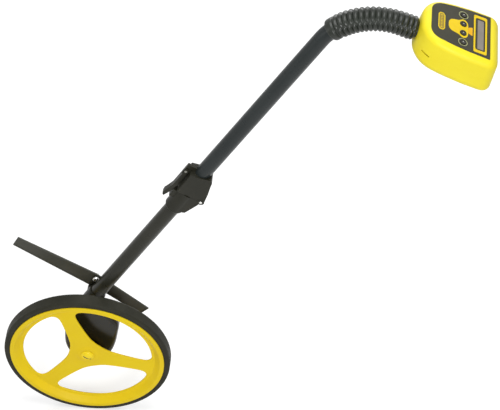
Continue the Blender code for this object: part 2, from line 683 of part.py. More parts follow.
def fold_joint(upper, lever):
    split = FOLD_ALONG
    shoulder = LOWER_SLEEVE_LOW + SLEEVE_R - TUBE_R
    lower = turned(((0, split - GAP), (SLEEVE_R, split - GAP), (SLEEVE_R, shoulder),
                    (TUBE_R + GAP * 3, LOWER_SLEEVE_LOW), (0, LOWER_SLEEVE_LOW)), TUBE_STEPS)
    keep(lower, "fold_bracket_lower", BLACK, POLE_FRAME)
    ear = ear_block(LOWER_EAR_SHARES, LOWER_EAR_LENGTH, EAR_HALF - GAP, split - GAP)
    join(lower, tool(ear, "join_lower_ear", POLE_FRAME))
    join(lower, barrel("join_lower_barrel", KNUCKLE_R, EAR_HALF, FOLD_OUT, split))
    foot = split - CATCH_BELOW
    catch = box((-CATCH_OUT, -KNUCKLE_HALF, foot), (-CATCH_IN, KNUCKLE_HALF, foot + CATCH_LENGTH))
    join(lower, tool(catch, "join_catch", POLE_FRAME))
    inner = FOLD_OUT - KNUCKLE_R - GAP * 2
    top = box((-LUG_OUT, -EAR_HALF * 2, split - GAP), (inner, EAR_HALF * 2, split * 1.1))
    cut(lower, tool(top, "cut_lower_top", POLE_FRAME))
    cut(lower, barrel("cut_lower_slot", KNUCKLE_R + GAP * 2, KNUCKLE_HALF + GAP, FOLD_OUT, split))

    upper_part = ear_block(UPPER_EAR_SHARES, UPPER_EAR_LENGTH, EAR_HALF, split + GAP)
    keep(upper_part, "fold_bracket_upper", BLACK, POLE_FRAME, upper)
    swing = KNUCKLE_R + GAP * 2
    for side in (-1, 1):
        clear = moved(rod(swing, -EAR_HALF / 2, EAR_HALF / 2, TUBE_STEPS), ACROSS)
        at = (FOLD_OUT, side * (KNUCKLE_HALF + GAP / 2 + EAR_HALF / 2), split)
        cut(upper_part, tool(clear, f"cut_upper_swing_{side + 1}", POLE_FRAME @ Matrix.Translation(at)))
    join(upper_part, barrel("join_upper_knuckle", KNUCKLE_R, KNUCKLE_HALF, FOLD_OUT, split))
    lug = box((-LUG_OUT, -LUG_HALF, LATCH_ALONG - LUG_BELOW), (-CATCH_IN, LUG_HALF, LATCH_ALONG + LUG_ABOVE))
    join(upper_part, tool(lug, "join_latch_lug", POLE_FRAME))
    clear_tube = rod(TUBE_R + GAP, split * 0.9, (split + UPPER_ABOVE) * 1.2, TUBE_STEPS)
    tool(clear_tube, "cut_upper_bore", POLE_FRAME)
    cut(upper_part, clear_tube)
    low_bore = rod(TUBE_R + GAP, LOWER_SLEEVE_LOW * 0.9, split * 1.1, TUBE_STEPS)
    cut(lower, tool(low_bore, "cut_lower_bore", POLE_FRAME))
    hole = barrel("cut_fold_pin", FOLD_PIN_R + GAP, EAR_HALF * 2, FOLD_OUT, split)
    cut(lower, hole)
    cut(upper_part, hole)
    latch_hole = barrel("cut_latch_pin", LATCH_PIN_R + GAP, EAR_HALF * 2, -LATCH_OUT, LATCH_ALONG)
    cut(upper_part, latch_hole)

    pin_half = EAR_HALF + GAP
    end = pin_half + PIN_HEAD
    pin = turned(((0, end), (PIN_HEAD_R * 0.7, end), (PIN_HEAD_R, end - PIN_HEAD / 2), (PIN_HEAD_R, pin_half),
                  (FOLD_PIN_R, pin_half), (FOLD_PIN_R, -pin_half), (PIN_HEAD_R, -pin_half),
                  (PIN_HEAD_R, PIN_HEAD / 2 - end), (PIN_HEAD_R * 0.7, -end), (0, -end)), SMALL_STEPS)
    keep(pin, "fold_pin", STEEL, POLE_FRAME @ Matrix.Translation((FOLD_OUT, 0, split)) @ ACROSS)
    half = LEVER_HALF + GAP
    latch_pin = turned(((0, half + PIN_HEAD / 2), (LATCH_HEAD_R, half + PIN_HEAD / 2), (LATCH_HEAD_R, half),
                        (LATCH_PIN_R, half), (LATCH_PIN_R, -half), (LATCH_HEAD_R, -half),
                        (LATCH_HEAD_R, -half - PIN_HEAD / 2), (0, -half - PIN_HEAD / 2)), SMALL_STEPS)
    at_latch = POLE_FRAME @ Matrix.Translation((-LATCH_OUT, 0, LATCH_ALONG))
    keep(latch_pin, "latch_pin", STEEL, at_latch @ ACROSS, upper)
    outline = [(LEVER_DEPTH * a, LEVER_LENGTH * b) for a, b in LEVER_SHARES]
    body = moved(prism(outline, -LEVER_HALF, LEVER_HALF), ACROSS)
    keep(body, "latch_lever", BLACK, at_latch, lever)
    slot = box((-LEVER_DEPTH * 2, -LUG_HALF - GAP, -LUG_BELOW - GAP * 4),
               (LEVER_DEPTH * 2, LUG_HALF + GAP, LEVER_DEPTH * 2))
    cut(body, tool(slot, "cut_lever_slot", at_latch))
    cut(body, latch_hole)


def grip(upper):
    bend_end = BEND_START + BEND_R * BEND_ANGLE
    start = BEND_START + BEND_R * BEND_ANGLE * GRIP_START_SHARE
    end = bend_end + HEAD_REACH + HEAD_LEFT - GAP
    ribs_from = start + GRIP_COLLAR
    pitch = (end - ribs_from) / RIBS
    stations = [(start, GRIP_VALLEY_R), (start + GRIP_COLLAR * 0.15, GRIP_COLLAR_R),
                (start + GRIP_COLLAR * 0.8, GRIP_COLLAR_R), (ribs_from, GRIP_VALLEY_R)]
    for i in range(RIBS):
        stations.append((ribs_from + pitch * (i + 0.5), GRIP_R))
        stations.append((ribs_from + pitch * (i + 1), GRIP_VALLEY_R))
    body = swept([(*pole_point(s), r) for s, r in stations], GRIP_STEPS)
    keep(body, "grip", RUBBER, POLE_FRAME, upper)
    stops = [BEND_START + (bend_end - BEND_START) * i / BEND_STEPS for i in range(BEND_STEPS + 1)]
    stops.append(max(end, bend_end) + GAP)
    bore = swept([(*pole_point(s), TUBE_R + GAP) for s in stops], TUBE_STEPS)
    cut(body, tool(bore, "cut_grip", POLE_FRAME))


# Head

def head_outline(inset=0):
    half = [(HEAD_END + HEAD_LENGTH * a, HEAD_HALF * b) for a, b in HEAD_SHARES]
    radii = [HEAD_CORNER] + [0] * (len(half) - 1)
    full = mirrored(half)
    outline = rounded(full, radii + radii[::-1])
    if not inset:
        return outline
    return inward(outline, inset)


def inward(outline, inset):
    """The outline moved inward by a distance, for one that runs with its inside on a known side."""
    area = sum(a[0] * b[1] - b[0] * a[1] for a, b in zip(outline, outline[1:] + outline[:1]))
    side = 1 if area > 0 else -1
    moved_points = []
    for i, here in enumerate(outline):
        before = (Vector(here) - Vector(outline[i - 1])).normalized()
        after = (Vector(outline[(i + 1) % len(outline)]) - Vector(here)).normalized()
        along = (before + after).normalized()
        normal = Vector((-along.y, along.x)) * side
        stretch = max(normal.dot(Vector((-after.y, after.x)) * side), 0.5)
        moved_points.append(tuple(Vector(here) + normal * inset / stretch))
    return moved_points


def face_outline(grow=0):
    half = [(FACE_LENGTH * a, FACE_HALF * b) for a, b in FACE_SHARES]
    radii = [FACE_CORNER] + [0] * (len(half) - 1)
    outline = rounded(mirrored(half), radii + radii[::-1])
    return inward(outline, -grow) if grow else outline


def lens_outline(grow=0):
    return rounded(rectangle(LENS_HALF_U + grow, LENS_HALF_V + grow, -DISPLAY_MID), LENS_CORNER)


def frame_outline(grow=0):
    return rounded(rectangle(FRAME_HALF_U + grow, FRAME_HALF_V + grow, -DISPLAY_MID), FRAME_CORNER)


def inlay_outline(grow=0):
    half = [(-INLAY_MID + (INLAY_LENGTH + 2 * grow) * a, (INLAY_HALF + grow) * b) for a, b in INLAY_SHARES]
    return mirrored(half)


def button_places():
    return [(-BUTTON_U, BUTTON_SPREAD * share) for share in BUTTON_V_SHARES]


def screw_places():
    """Two pairs of shell screws, at the user end and near the grip."""
    places = []
    for a, b in zip(SCREW_U_SHARES, SCREW_V_SHARES):
        for side in (-1, 1):
            places.append((HEAD_LENGTH * a, side * HEAD_HALF * b))
    return places


def slanted(shape):
    """The shape with its lower levels moved towards the user, most at the user end."""
    for point in shape.data.vertices:
        reach = (point.co.x - HEAD_LEFT) / HEAD_LENGTH
        point.co.x -= point.co.z * (HEAD_SLANT_SHARE + HEAD_FLARE_SHARE * reach)
    return shape


def head_shells(upper):
    top = slanted(prism(head_outline(), -PARTING + GAP / 2, FACE_PROUD, 0, HEAD_TOP_ROUND))
    keep(top, "head_shell_upper", YELLOW, HEAD_FRAME, upper)
    inner = head_outline(HEAD_WALL)
    room = prism(inner, -HEAD_DEPTH / 2, -FACE_RECESS - HEAD_WALL, 0, HEAD_TOP_ROUND - HEAD_WALL)
    cut(top, tool(slanted(room), "cut_upper_room", HEAD_FRAME))
    seat = prism(face_outline(GAP), -FACE_RECESS, HEAD_WALL)
    cut(top, tool(seat, "cut_face_seat", HEAD_FRAME))
    window = prism(lens_outline(GAP), -FACE_RECESS - HEAD_WALL * 2, HEAD_WALL)
    cut(top, tool(window, "cut_display", HEAD_FRAME))
    low = slanted(prism(head_outline(), -HEAD_DEPTH, -PARTING - GAP / 2, HEAD_LOW_ROUND, 0))
    keep(low, "head_shell_lower", YELLOW, HEAD_FRAME, upper)
    room = prism(inner, HEAD_WALL - HEAD_DEPTH, -HEAD_DEPTH / 3, HEAD_LOW_ROUND - HEAD_WALL, 0)
    cut(low, tool(slanted(room), "cut_lower_room", HEAD_FRAME))
    way = rod(TUBE_R + GAP, -HEAD_LENGTH * 0.35, HEAD_LENGTH * 0.3, TUBE_STEPS)
    moved(way, Matrix.Rotation(math.pi / 2, 4, "Y"))
    tool(way, "cut_tube_way", HEAD_FRAME @ Matrix.Translation((HEAD_LEFT, 0, -HEAD_RISE)))
    cut(top, way)
    cut(low, way)
    for i, (u, v) in enumerate(button_places()):
        hole = rod(BUTTON_R + GAP, -FACE_RECESS - HEAD_WALL * 2, HEAD_WALL)
        tool(hole, f"cut_button_{i}", HEAD_FRAME @ Matrix.Translation((u, v, 0)))
        cut(top, hole)
    for i, (u, v) in enumerate(screw_places()):
        at = HEAD_FRAME @ Matrix.Translation((u, v, -HEAD_DEPTH))
        post = rod(BOSS_R, HEAD_WALL / 2, HEAD_DEPTH - PARTING - GAP / 2)
        join(low, tool(post, f"join_lower_post_{i}", at))
        post = rod(BOSS_R, HEAD_DEPTH - PARTING + GAP / 2, HEAD_DEPTH - FACE_RECESS - HEAD_WALL / 2)
        join(top, tool(post, f"join_upper_post_{i}", at))
    for i, (a, b) in enumerate(BOARD_POST_SHARES):
        for side in (-1, 1):
            at = HEAD_FRAME @ Matrix.Translation((BOARD_LENGTH * a - BOARD_MID, side * BOARD_HALF * b, 0))
            post = rod(BOARD_POST_R, GAP - BOARD_DEPTH, -FACE_RECESS - HEAD_WALL / 2)
            join(top, tool(post, f"join_board_post_{i}_{side + 1}", at))
    for i, (u, v) in enumerate(screw_places()):
        at = HEAD_FRAME @ Matrix.Translation((u, v, -HEAD_DEPTH))
        well = rod(SCREW_HEAD_R + GAP, -HEAD_WALL, HEAD_LOW_ROUND)
        cut(low, tool(well, f"cut_well_{i}", at))
        shank = rod(SCREW_R + GAP, -HEAD_WALL, HEAD_LOW_ROUND + SCREW_LENGTH + HEAD_WALL)
        tool(shank, f"cut_shank_{i}", at)
        cut(low, shank)
        cut(top, shank)
        head = Matrix.Translation((0, 0, HEAD_LOW_ROUND - GAP)) @ Matrix.Rotation(math.pi, 4, "X")
        screw = headed(SCREW_R, SCREW_LENGTH, SCREW_HEAD_R, SCREW_HEAD)
        keep(screw, f"shell_screw_{i + 1}", STEEL, at @ head, upper)
    return top, low


def face_parts(upper):
    panel = prism(face_outline(), -FACE_THICK, 0)
    keep(panel, "panel", FACE, HEAD_FRAME, upper)
    opening = prism(frame_outline(GAP), -FACE_THICK * 2, FACE_THICK)
    cut(panel, tool(opening, "cut_frame", HEAD_FRAME))
    frame = prism(frame_outline(), -FACE_THICK, FACE_PROUD)
    keep(frame, "display_frame", YELLOW, HEAD_FRAME, upper)
    opening = prism(lens_outline(GAP), -FACE_THICK * 2, FACE_THICK)
    cut(frame, tool(opening, "cut_lens", HEAD_FRAME))
    lens = prism(lens_outline(), -LENS_THICK, 0)
    keep(lens, "display_window", GREY, HEAD_FRAME, upper)
    depth = FACE_RECESS + HEAD_WALL + GAP
    module = prism(rectangle(MODULE_HALF_U, MODULE_HALF_V, -DISPLAY_MID), -depth - MODULE_THICK, -depth)
    keep(module, "display_module", GREY, HEAD_FRAME, upper)
    opening = prism(inlay_outline(GAP), -FACE_THICK * 2, FACE_THICK)
    cut(panel, tool(opening, "cut_inlay", HEAD_FRAME))
    inlay = prism(inlay_outline(), -FACE_THICK, FACE_PROUD / 2)
    keep(inlay, "panel_inlay", YELLOW, HEAD_FRAME, upper)
    for i, (u, v) in enumerate(button_places()):
        hole = rod(BUTTON_R + GAP, -HEAD_WALL, HEAD_WALL)
        tool(hole, f"cut_face_button_{i}", HEAD_FRAME @ Matrix.Translation((u, v, 0)))
        cut(panel, hole)
        if abs(v) < INLAY_HALF:
            cut(inlay, hole)
    outline = rectangle(BOARD_LENGTH / 2, BOARD_HALF, -BOARD_MID)
    board = prism(outline, -BOARD_DEPTH - BOARD_THICK, -BOARD_DEPTH)
    keep(board, "circuit_board", BOARD, HEAD_FRAME, upper)


def buttons(upper):
    flange_top = -FACE_RECESS - HEAD_WALL - GAP * 4 - BUTTON_PROUD
    for i, (u, v) in enumerate(button_places()):
        low = flange_top - BUTTON_FLANGE
        shape = turned(((0, BUTTON_PROUD), (BUTTON_R * 0.82, BUTTON_PROUD), (BUTTON_R, BUTTON_PROUD * 0.6),
                        (BUTTON_R, flange_top), (BUTTON_FLANGE_R, flange_top), (BUTTON_FLANGE_R, low),
                        (0, low)), SMALL_STEPS)
        keep(shape, f"button_{i + 1}", BLACK, HEAD_FRAME @ Matrix.Translation((u, v, 0)), upper)


def battery_bay(upper, door_axis, low):
    half_u = CELLS * CELL_PITCH / 2 + TRAY_CLEAR
    half_v = CELL_HALF + TRAY_CLEAR + CONTACT_THICK
    mid = -TRAY_MID
    floor = -HEAD_DEPTH + DOOR_THICK + GAP
    seat = -HEAD_DEPTH + HEAD_WALL + GAP
    tray = prism(rectangle(half_u + TRAY_WALL, half_v + TRAY_WALL, mid), seat, -TRAY_HIGH)
    keep(tray, "battery_tray", BLACK, HEAD_FRAME, upper)
    flange = prism(rectangle(half_u + TRAY_FLANGE, half_v + TRAY_FLANGE, mid), seat, seat + TRAY_WALL)
    join(tray, tool(flange, "join_tray_flange", HEAD_FRAME))
    room = prism(rectangle(half_u, half_v, mid), floor, -TRAY_HIGH - TRAY_WALL)
    cut(tray, tool(room, "cut_tray_room", HEAD_FRAME))
    opening = prism(rectangle(half_u + DOOR_MARGIN, half_v + DOOR_MARGIN, mid), -HEAD_DEPTH - HEAD_WALL,
                    -HEAD_DEPTH + HEAD_WALL * 2)
    cut(low, tool(opening, "cut_door_opening", HEAD_FRAME))
    centre = -TRAY_HIGH - TRAY_WALL - CELL_R - GAP
    for i in range(CELLS):
        u = mid + CELL_PITCH * (i - (CELLS - 1) / 2)
        cell = turned(((0, CELL_HALF), (CELL_R * 0.38, CELL_HALF), (CELL_R * 0.38, CELL_HALF * 0.95),
                       (CELL_R, CELL_HALF * 0.95), (CELL_R, -CELL_HALF), (0, -CELL_HALF)), SMALL_STEPS)
        way = Matrix.Rotation(math.pi / 2 * (1 if i % 2 else -1), 4, "X")
        keep(cell, f"cell_{i + 1}", CELL, HEAD_FRAME @ Matrix.Translation((u, 0, centre)) @ way, upper)
    for i, side in enumerate((-1, 1)):
        v = side * (CELL_HALF + GAP + CONTACT_THICK / 2)
        plate = box((mid - half_u + GAP, v - CONTACT_THICK / 2, centre - CELL_R * 0.8),
                    (mid + half_u - GAP, v + CONTACT_THICK / 2, centre + CELL_R * 0.8))
        keep(plate, f"contact_plate_{i + 1}", STEEL, HEAD_FRAME, upper)
    door_u = half_u + DOOR_MARGIN - GAP * 2
    door_v = half_v + DOOR_MARGIN - GAP * 2
    at = HEAD_FRAME @ Matrix.Translation((mid - door_u, 0, -HEAD_DEPTH))
    door = prism(rectangle(door_u, door_v, door_u), 0, DOOR_THICK)
    keep(door, "battery_door", YELLOW, at, door_axis)


# Kickstand

def kickstand(axis):
    outline = [(STAND_LENGTH * a, STAND_LENGTH * b) for a, b in STAND_SHARES]
    bar = prism(outline, STAND_BACK, STAND_FRONT, STAND_EDGE, STAND_EDGE)
    frame = WHEEL_FRAME @ Matrix.Translation((STAND_PIVOT_X, STAND_PIVOT_Y, 0))
    keep(bar, "kickstand", COATED, frame, axis)
    recess = prism(inward(outline, STAND_LIP), STAND_FRONT - STAND_RECESS, STAND_FRONT + STAND_LIP)
    cut(bar, tool(recess, "cut_stand_recess", frame))
    hole = rod(STAND_BOLT_R + GAP, STAND_BACK * 1.2, STAND_FRONT / 2)
    cut(bar, tool(hole, "cut_stand_bolt", frame))
    top = EAR_BACK + GAP * 2
    end = STAND_BACK - GAP - STAND_NUT
    peak = top + STAND_BOLT_HEAD
    bolt = turned(((0, peak), (STAND_BOLT_HEAD_R * 0.7, peak), (STAND_BOLT_HEAD_R, peak - STAND_BOLT_HEAD / 2),
                   (STAND_BOLT_HEAD_R, top), (STAND_BOLT_R, top), (STAND_BOLT_R, end), (0, end)), SMALL_STEPS)
    keep(bolt, "stand_bolt", STEEL, frame)
    nut = ring(STAND_NUT_R, STAND_BOLT_R + GAP, end, STAND_BACK - GAP)
    keep(nut, "stand_nut", STEEL, frame)


def build():
    wheel_axis = joint("axis_wheel", WHEEL_FRAME)
    fold_axis = joint("axis_fold", POLE_FRAME @ Matrix.Translation((FOLD_OUT, 0, FOLD_ALONG)))
    stand_axis = joint("axis_stand", WHEEL_FRAME @ Matrix.Translation((STAND_PIVOT_X, STAND_PIVOT_Y, 0)))
    wheel(wheel_axis)
    axle()
    sensor_housing()
    pole_socket()
    tube("lower_tube", TUBE_FOOT, FOLD_ALONG - GAP, None)
    inside = BEND_START + BEND_R * BEND_ANGLE + HEAD_REACH + HEAD_LEFT + HEAD_LENGTH * TUBE_IN_SHARE
    tube("upper_tube", FOLD_ALONG + GAP, inside, fold_axis)
    fold_joint(fold_axis, fold_axis)
    grip(fold_axis)
    top, low = head_shells(fold_axis)
    face_parts(fold_axis)
    buttons(fold_axis)
    battery_bay(fold_axis, fold_axis, low)
    kickstand(stand_axis)


build()
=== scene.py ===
"""Measuring wheel: the looks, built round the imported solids."""
import math
import bmesh
import bpy
from mathutils import Matrix, Vector

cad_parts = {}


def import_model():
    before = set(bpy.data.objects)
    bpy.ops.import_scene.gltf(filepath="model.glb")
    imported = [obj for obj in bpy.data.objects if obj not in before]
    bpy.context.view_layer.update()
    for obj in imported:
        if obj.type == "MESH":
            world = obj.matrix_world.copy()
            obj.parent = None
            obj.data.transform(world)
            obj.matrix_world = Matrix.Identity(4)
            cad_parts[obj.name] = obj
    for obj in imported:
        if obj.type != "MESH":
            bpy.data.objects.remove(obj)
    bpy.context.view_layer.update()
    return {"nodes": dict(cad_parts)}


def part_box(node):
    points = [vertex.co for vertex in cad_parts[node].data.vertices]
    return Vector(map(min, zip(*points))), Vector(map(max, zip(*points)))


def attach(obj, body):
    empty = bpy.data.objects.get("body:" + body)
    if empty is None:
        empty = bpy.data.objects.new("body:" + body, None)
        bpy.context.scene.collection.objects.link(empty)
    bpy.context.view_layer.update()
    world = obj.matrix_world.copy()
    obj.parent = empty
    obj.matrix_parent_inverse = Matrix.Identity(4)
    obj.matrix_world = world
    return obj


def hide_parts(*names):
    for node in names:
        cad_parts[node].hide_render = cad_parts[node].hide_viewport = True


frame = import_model()

# Places shared with the solids
GAP = 0.0003
RIM_LOW, RIM_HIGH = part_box("wheel_rim")
WHEEL_Z = (RIM_LOW.z + RIM_HIGH.z) / 2
WHEEL_FRAME = Matrix.Translation((0, 0, WHEEL_Z)) @ Matrix.Rotation(math.pi / 2, 4, "X")
LEAN = math.radians(30.73)
POLE_OFFSET = 0.0507
POLE_BEHIND = 0.04194
POLE_FOOT = (-POLE_OFFSET * math.cos(LEAN), POLE_BEHIND, WHEEL_Z + POLE_OFFSET * math.sin(LEAN))
POLE_FRAME = Matrix.Translation(POLE_FOOT) @ Matrix.Rotation(LEAN, 4, "Y")
BEND_START = 0.9167
BEND_R = 0.1058
BEND_ANGLE = math.radians(81.57)
BEND_END = (BEND_R * (1 - math.cos(BEND_ANGLE)), 0, BEND_START + BEND_R * math.sin(BEND_ANGLE))
HEAD_REACH = 0.1404
HEAD_RISE = 0.0351
HEAD_FRAME = (POLE_FRAME @ Matrix.Translation(BEND_END) @ Matrix.Rotation(BEND_ANGLE - math.pi / 2, 4, "Y")
              @ Matrix.Translation((HEAD_REACH, 0, HEAD_RISE)))

# Fineness of the meshes. A SMOOTH holds an outline's count of points and its rounds of softening
CORNER_STEPS = 10
SHELL_STEPS = 10
COVER_STEPS = 8
ROOM_STEPS = 6
OPENING_STEPS = 40
WELL_STEPS = 32
KEY_STEPS = 48
DOT_STEPS = 24
WINDOW_SMOOTH = (120, 5)
HOUSING_SMOOTH = (160, 14)
HEAD_SMOOTH = (168, 6)
FACE_SMOOTH = (220, 2)
BULB_SMOOTH = (90, 3)

# Wheel
WHEEL_STEPS = 192
RIM_R = 0.14806
RIM_HALF = 0.0145
CHANNEL_R = 0.14596
CHANNEL_HALF = 0.0123
WEB_LOW = 0.0012
WEB_HIGH = 0.0045
DISH_R = 0.1270
HUB_FOOT_R = 0.0260
WINDOW_R = 0.1240
WINDOW_SIDE = ((0.960, 0.125), (0.750, 0.128), (0.500, 0.146), (0.290, 0.173))
WINDOW_FAR_CORNER = 0.0115
WINDOW_SIDE_BLEND = 0.045
WINDOW_TIP_SHARE = 0.285
WINDOW_ARC_STEPS = 16
WINDOWS = 3
SPOKE_ANGLE = math.radians(107.5)
WEB_ROUND_FRONT = 0.0012
WEB_ROUND_BACK = 0.0008
HUB_FACE = 0.0062

# Profiles of the wheel: radius, level, corner radius
RIM_PROFILE = (
    (DISH_R, WEB_HIGH, 0), (0.1292, WEB_HIGH, 0.004), (0.1400, RIM_HALF, 0.0026), (RIM_R, RIM_HALF, 0.0009),
    (RIM_R, CHANNEL_HALF, 0), (CHANNEL_R, CHANNEL_HALF, 0), (CHANNEL_R, -CHANNEL_HALF, 0),
    (RIM_R, -CHANNEL_HALF, 0), (RIM_R, -RIM_HALF, 0.0009), (0.1432, -RIM_HALF, 0.001),
    (0.1410, WEB_LOW, 0.002), (DISH_R, WEB_LOW, 0),
)
HUB_PROFILE = (
    (HUB_FOOT_R, WEB_HIGH, 0), (0.0215, WEB_HIGH + 0.0006, 0.004), (0.0170, HUB_FACE, 0.003),
    (0.0098, HUB_FACE, 0), (0.0098, -0.0120, 0), (0.0200, -0.0120, 0.0008), (0.0200, -0.0048, 0.0015),
    (HUB_FOOT_R, WEB_LOW, 0),
)
TYRE_HALF = 0.01305
TYRE_R = 0.15912
TYRE_MOULD_LINE = 0.00003
TYRE_SIDE = (
    (CHANNEL_R + GAP, CHANNEL_HALF - GAP, 0), (RIM_R + GAP, CHANNEL_HALF - GAP, 0),
    (RIM_R + GAP, TYRE_HALF - 0.0006, 0.0004), (0.1510, TYRE_HALF, 0), (0.1572, TYRE_HALF, 0.0012),
    (TYRE_R, 0.0098, 0.002), (TYRE_R, 0.0005, 0),
)

# Hub cap, its levels counted from the hub's face
CAP_STEPS = 72
CAP_PROFILE = (
    (0, 0.0042, 0), (0.0045, 0.0040, 0.012), (0.0083, 0.0026, 0.004), (0.0092, 0.0012, 0.0004),
    (0.0104, 0.0014, 0.0004), (0.0118, 0.0011, 0.0004), (0.0120, 0, 0), (0.0106, 0, 0), (0.0060, 0.0016, 0),
    (0, 0.0026, 0),
)
CAP_CREST_R = 0.0116
CAP_MARK_AT = (-0.00035, -0.0051, 0)
CAP_MARK_TURN = math.radians(-34)
CAP_MARK_HALF = (0.0088, 0.00135)
CAP_MARK_CORNER = 0.0007
CAP_MARK_LEVELS = (0.0004, 0.0060)
CAP_MARK_PROUD = 0.0001

# Sensor housing
HOUSING_FRONT = -0.0155
HOUSING_SPLIT = -0.0330
HOUSING_BACK = -0.0500
HOUSING_FRONT_ROUND = 0.0090
HOUSING_BACK_ROUND = 0.0045
HOUSING_SEAM_ROUND = 0.0002
HOUSING_SHAPE = (
    (-0.0470, 0.0100), (-0.0460, -0.0040), (-0.0420, -0.0190), (-0.0340, -0.0330), (-0.0220, -0.0425),
    (-0.0060, -0.0475), (0.0080, -0.0470), (0.0240, -0.0400), (0.0360, -0.0280), (0.0450, -0.0110),
    (0.0525, 0.0150), (0.0575, 0.0450), (0.0605, 0.0600), (0.0590, 0.0710), (0.0400, 0.0990),
    (0.0270, 0.1065), (0.0080, 0.1075), (-0.0110, 0.1065), (-0.0310, 0.0910), (-0.0410, 0.0660),
    (-0.0450, 0.0380),
)
SEAM = 0.00004

# Pole
TUBE_R = 0.01417
TUBE_WALL = 0.0016
TUBE_EDGE = 0.0005
TUBE_STEPS = 64
BEND_STEPS = 32
TUBE_FOOT = 0.1060
FOLD_ALONG = 0.4720
GRIP_R = 0.0207
GRIP_VALLEY_R = 0.0177
GRIP_COLLAR_R = 0.0194
GRIP_START_SHARE = 0.182
GRIP_COLLAR = 0.0120
GRIP_COLLAR_CROWN = 0.0003
GRIP_CROWN_STOPS = (0.15, 0.3, 0.45, 0.6, 0.75, 0.88)
GRIP_EDGE = 0.0006
GRIP_EDGE_DROP = 0.0018
GRIP_EDGE_LEFT = 0.0002
GRIP_BORE_STOPS = 24
GRIP_STEPS = 96
RIBS = 16
RIB_STEPS = 12
RIB_FADE_IN = 0.6
RIB_FADE_OUT = 0.3
RIB_POINT = 0.85
RIB_EVEN = 0.93
RIB_WOBBLE = 0.07
RIB_WOBBLE_TURN = 12.9898
# Each row of ribs: its shift in ribs, and where it starts and is full, from 0 above to 1 below
RIB_ROWS = ((0.0, (0.47, 0.12)), (0.5, (0.05, 0.40)))

# Head
HEAD_LENGTH = 0.1360
TUBE_IN_HEAD = 0.22
HEAD_END = 0.0171
HEAD_LEFT = HEAD_END - HEAD_LENGTH
HEAD_HALF = 0.0608
HEAD_DEPTH = 0.0680
HEAD_SHARES = ((0, 0.995), (-0.352, 0.990), (-0.595, 0.940), (-0.731, 0.885), (-0.814, 0.830),
               (-0.883, 0.730), (-0.936, 0.600), (-0.973, 0.440), (-1.00, 0.260))
HEAD_CORNER = 0.0170
HEAD_TOP_ROUND = 0.0135
HEAD_LOW_ROUND = 0.0150
HEAD_WALL = 0.0026
HEAD_SEAM_ROUND = 0.00012
HEAD_SLANT_SHARE = 0.080
HEAD_FLARE_SHARE = 0.120
GRIP_FROM = BEND_START + BEND_R * BEND_ANGLE * GRIP_START_SHARE
HEAD_FROM = BEND_START + BEND_R * BEND_ANGLE + HEAD_REACH + HEAD_LEFT
PARTING = 0.0351
WAY_BEFORE = 0.35
WAY_PAST = 0.3
FACE_RECESS = 0.0013
FACE_THICK = 0.0010
FACE_PROUD = 0.0004
FACE_ROUND = 0.0002
FACE_LENGTH = 0.1055
FACE_HALF = 0.0503
FACE_SHARES = ((0, 1.00), (-0.34, 0.975), (-0.593, 0.925), (-0.756, 0.863), (-0.863, 0.815), (-0.92, 0.745),
               (-0.955, 0.680), (-0.987, 0.560), (-1.00, 0.440))
FACE_CORNER = 0.0015
FACE_SHARP_FROM = -0.004
SLIT_AT = (-0.0972, -0.0450, -0.0392)
SLIT_TURN = math.radians(-37)
SLIT_HALF = (0.0088, 0.0050)
SLIT_CORNER = 0.0005
SLIT_LEVELS = (-0.0014, 0.0012)
WELL_R = 0.0033

# Display, buttons and prints on the face
DISPLAY_MID = 0.0181
LENS_HALF = (0.0069, 0.0355)
LENS_CORNER = 0.0016
LENS_SUNK = 0.0002
LENS_ROUND = 0.0002
SILL_WIDTH = 0.0016
SILL_PROUD = 0.0001
FRAME_HALF = (0.0119, 0.0435)
FRAME_CORNER = 0.0030
FRAME_ROUND = 0.0005
# Painted shade of the sill on the window: the dark sheet's width, its shift and its levels
LENS_SHADE = 0.0013
LENS_SHADE_SHIFT = (0.0005, -0.0003)
LENS_SHADE_LEVELS = (-0.00019, -0.00008)
BUTTON_U = -0.0490
BUTTON_V = (-0.0318, -0.01062, 0.01062, 0.0318)
BUTTON_R = 0.0058
BUTTON_BODIES = ("button_a", "button_b", "button_c", "button_d")
BUTTON_FOOT = -0.0071
BUTTON_PROFILE = (
    (0, 0.0015, 0), (0.0028, 0.0015, 0.004), (0.0047, 0.0021, 0.0012), (BUTTON_R, 0.0012, 0.0006),
    (BUTTON_R, BUTTON_FOOT + 0.001, 0), (0.0078, BUTTON_FOOT + 0.001, 0), (0.0078, BUTTON_FOOT, 0),
    (0, BUTTON_FOOT, 0),
)
DOT_PROFILE = ((0, 0.00175, 0), (0.0011, 0.00175, 0.0001), (0.0012, 0.0014, 0), (0, 0.0014, 0))
KEY_RING_R = (0.0084, 0.0071)
PRINT_LOW = 0.00002
PRINT_PROUD = 0.00025
PRINT_ROUND = 0.0001
FIELD_GAP = 0.0004
BULB_HALF = (
    (-0.0400, 0.0079), (-0.0410, 0.0160), (-0.0450, 0.0205), (-0.0490, 0.0220), (-0.0530, 0.0195),
    (-0.0575, 0.0162), (-0.0660, 0.0145), (-0.0710, 0.0125), (-0.0740, 0.0085), (-0.0750, 0.0040),
)
TAB_HALF = ((-0.0398, -0.0066), (-0.0340, -0.0092), (-0.0322, -0.0092))
TAB_CORNER = 0.0006
BADGE_HALF = ((-0.0935, -0.0150), (-0.0905, -0.0200), (-0.0845, -0.0200), (-0.0814, -0.0150))
BADGE_CORNER = 0.0020
BADGE_BORDER = 0.0017
BADGE_GAP = 0.0001
BADGE_FIELD_PROUD = 0.00016
BADGE_MARKS = 9
BADGE_LONG_EVERY = 4
BADGE_MARK_U = -0.08745
BADGE_MARK_PITCH = 0.0036
BADGE_MARK_LONG = 0.0020
BADGE_MARK_SHORT = 0.0011
BADGE_MARK_HALF = 0.0005
BADGE_MARK_CORNER = 0.0002
BADGE_MARK_PROUD = 0.00022

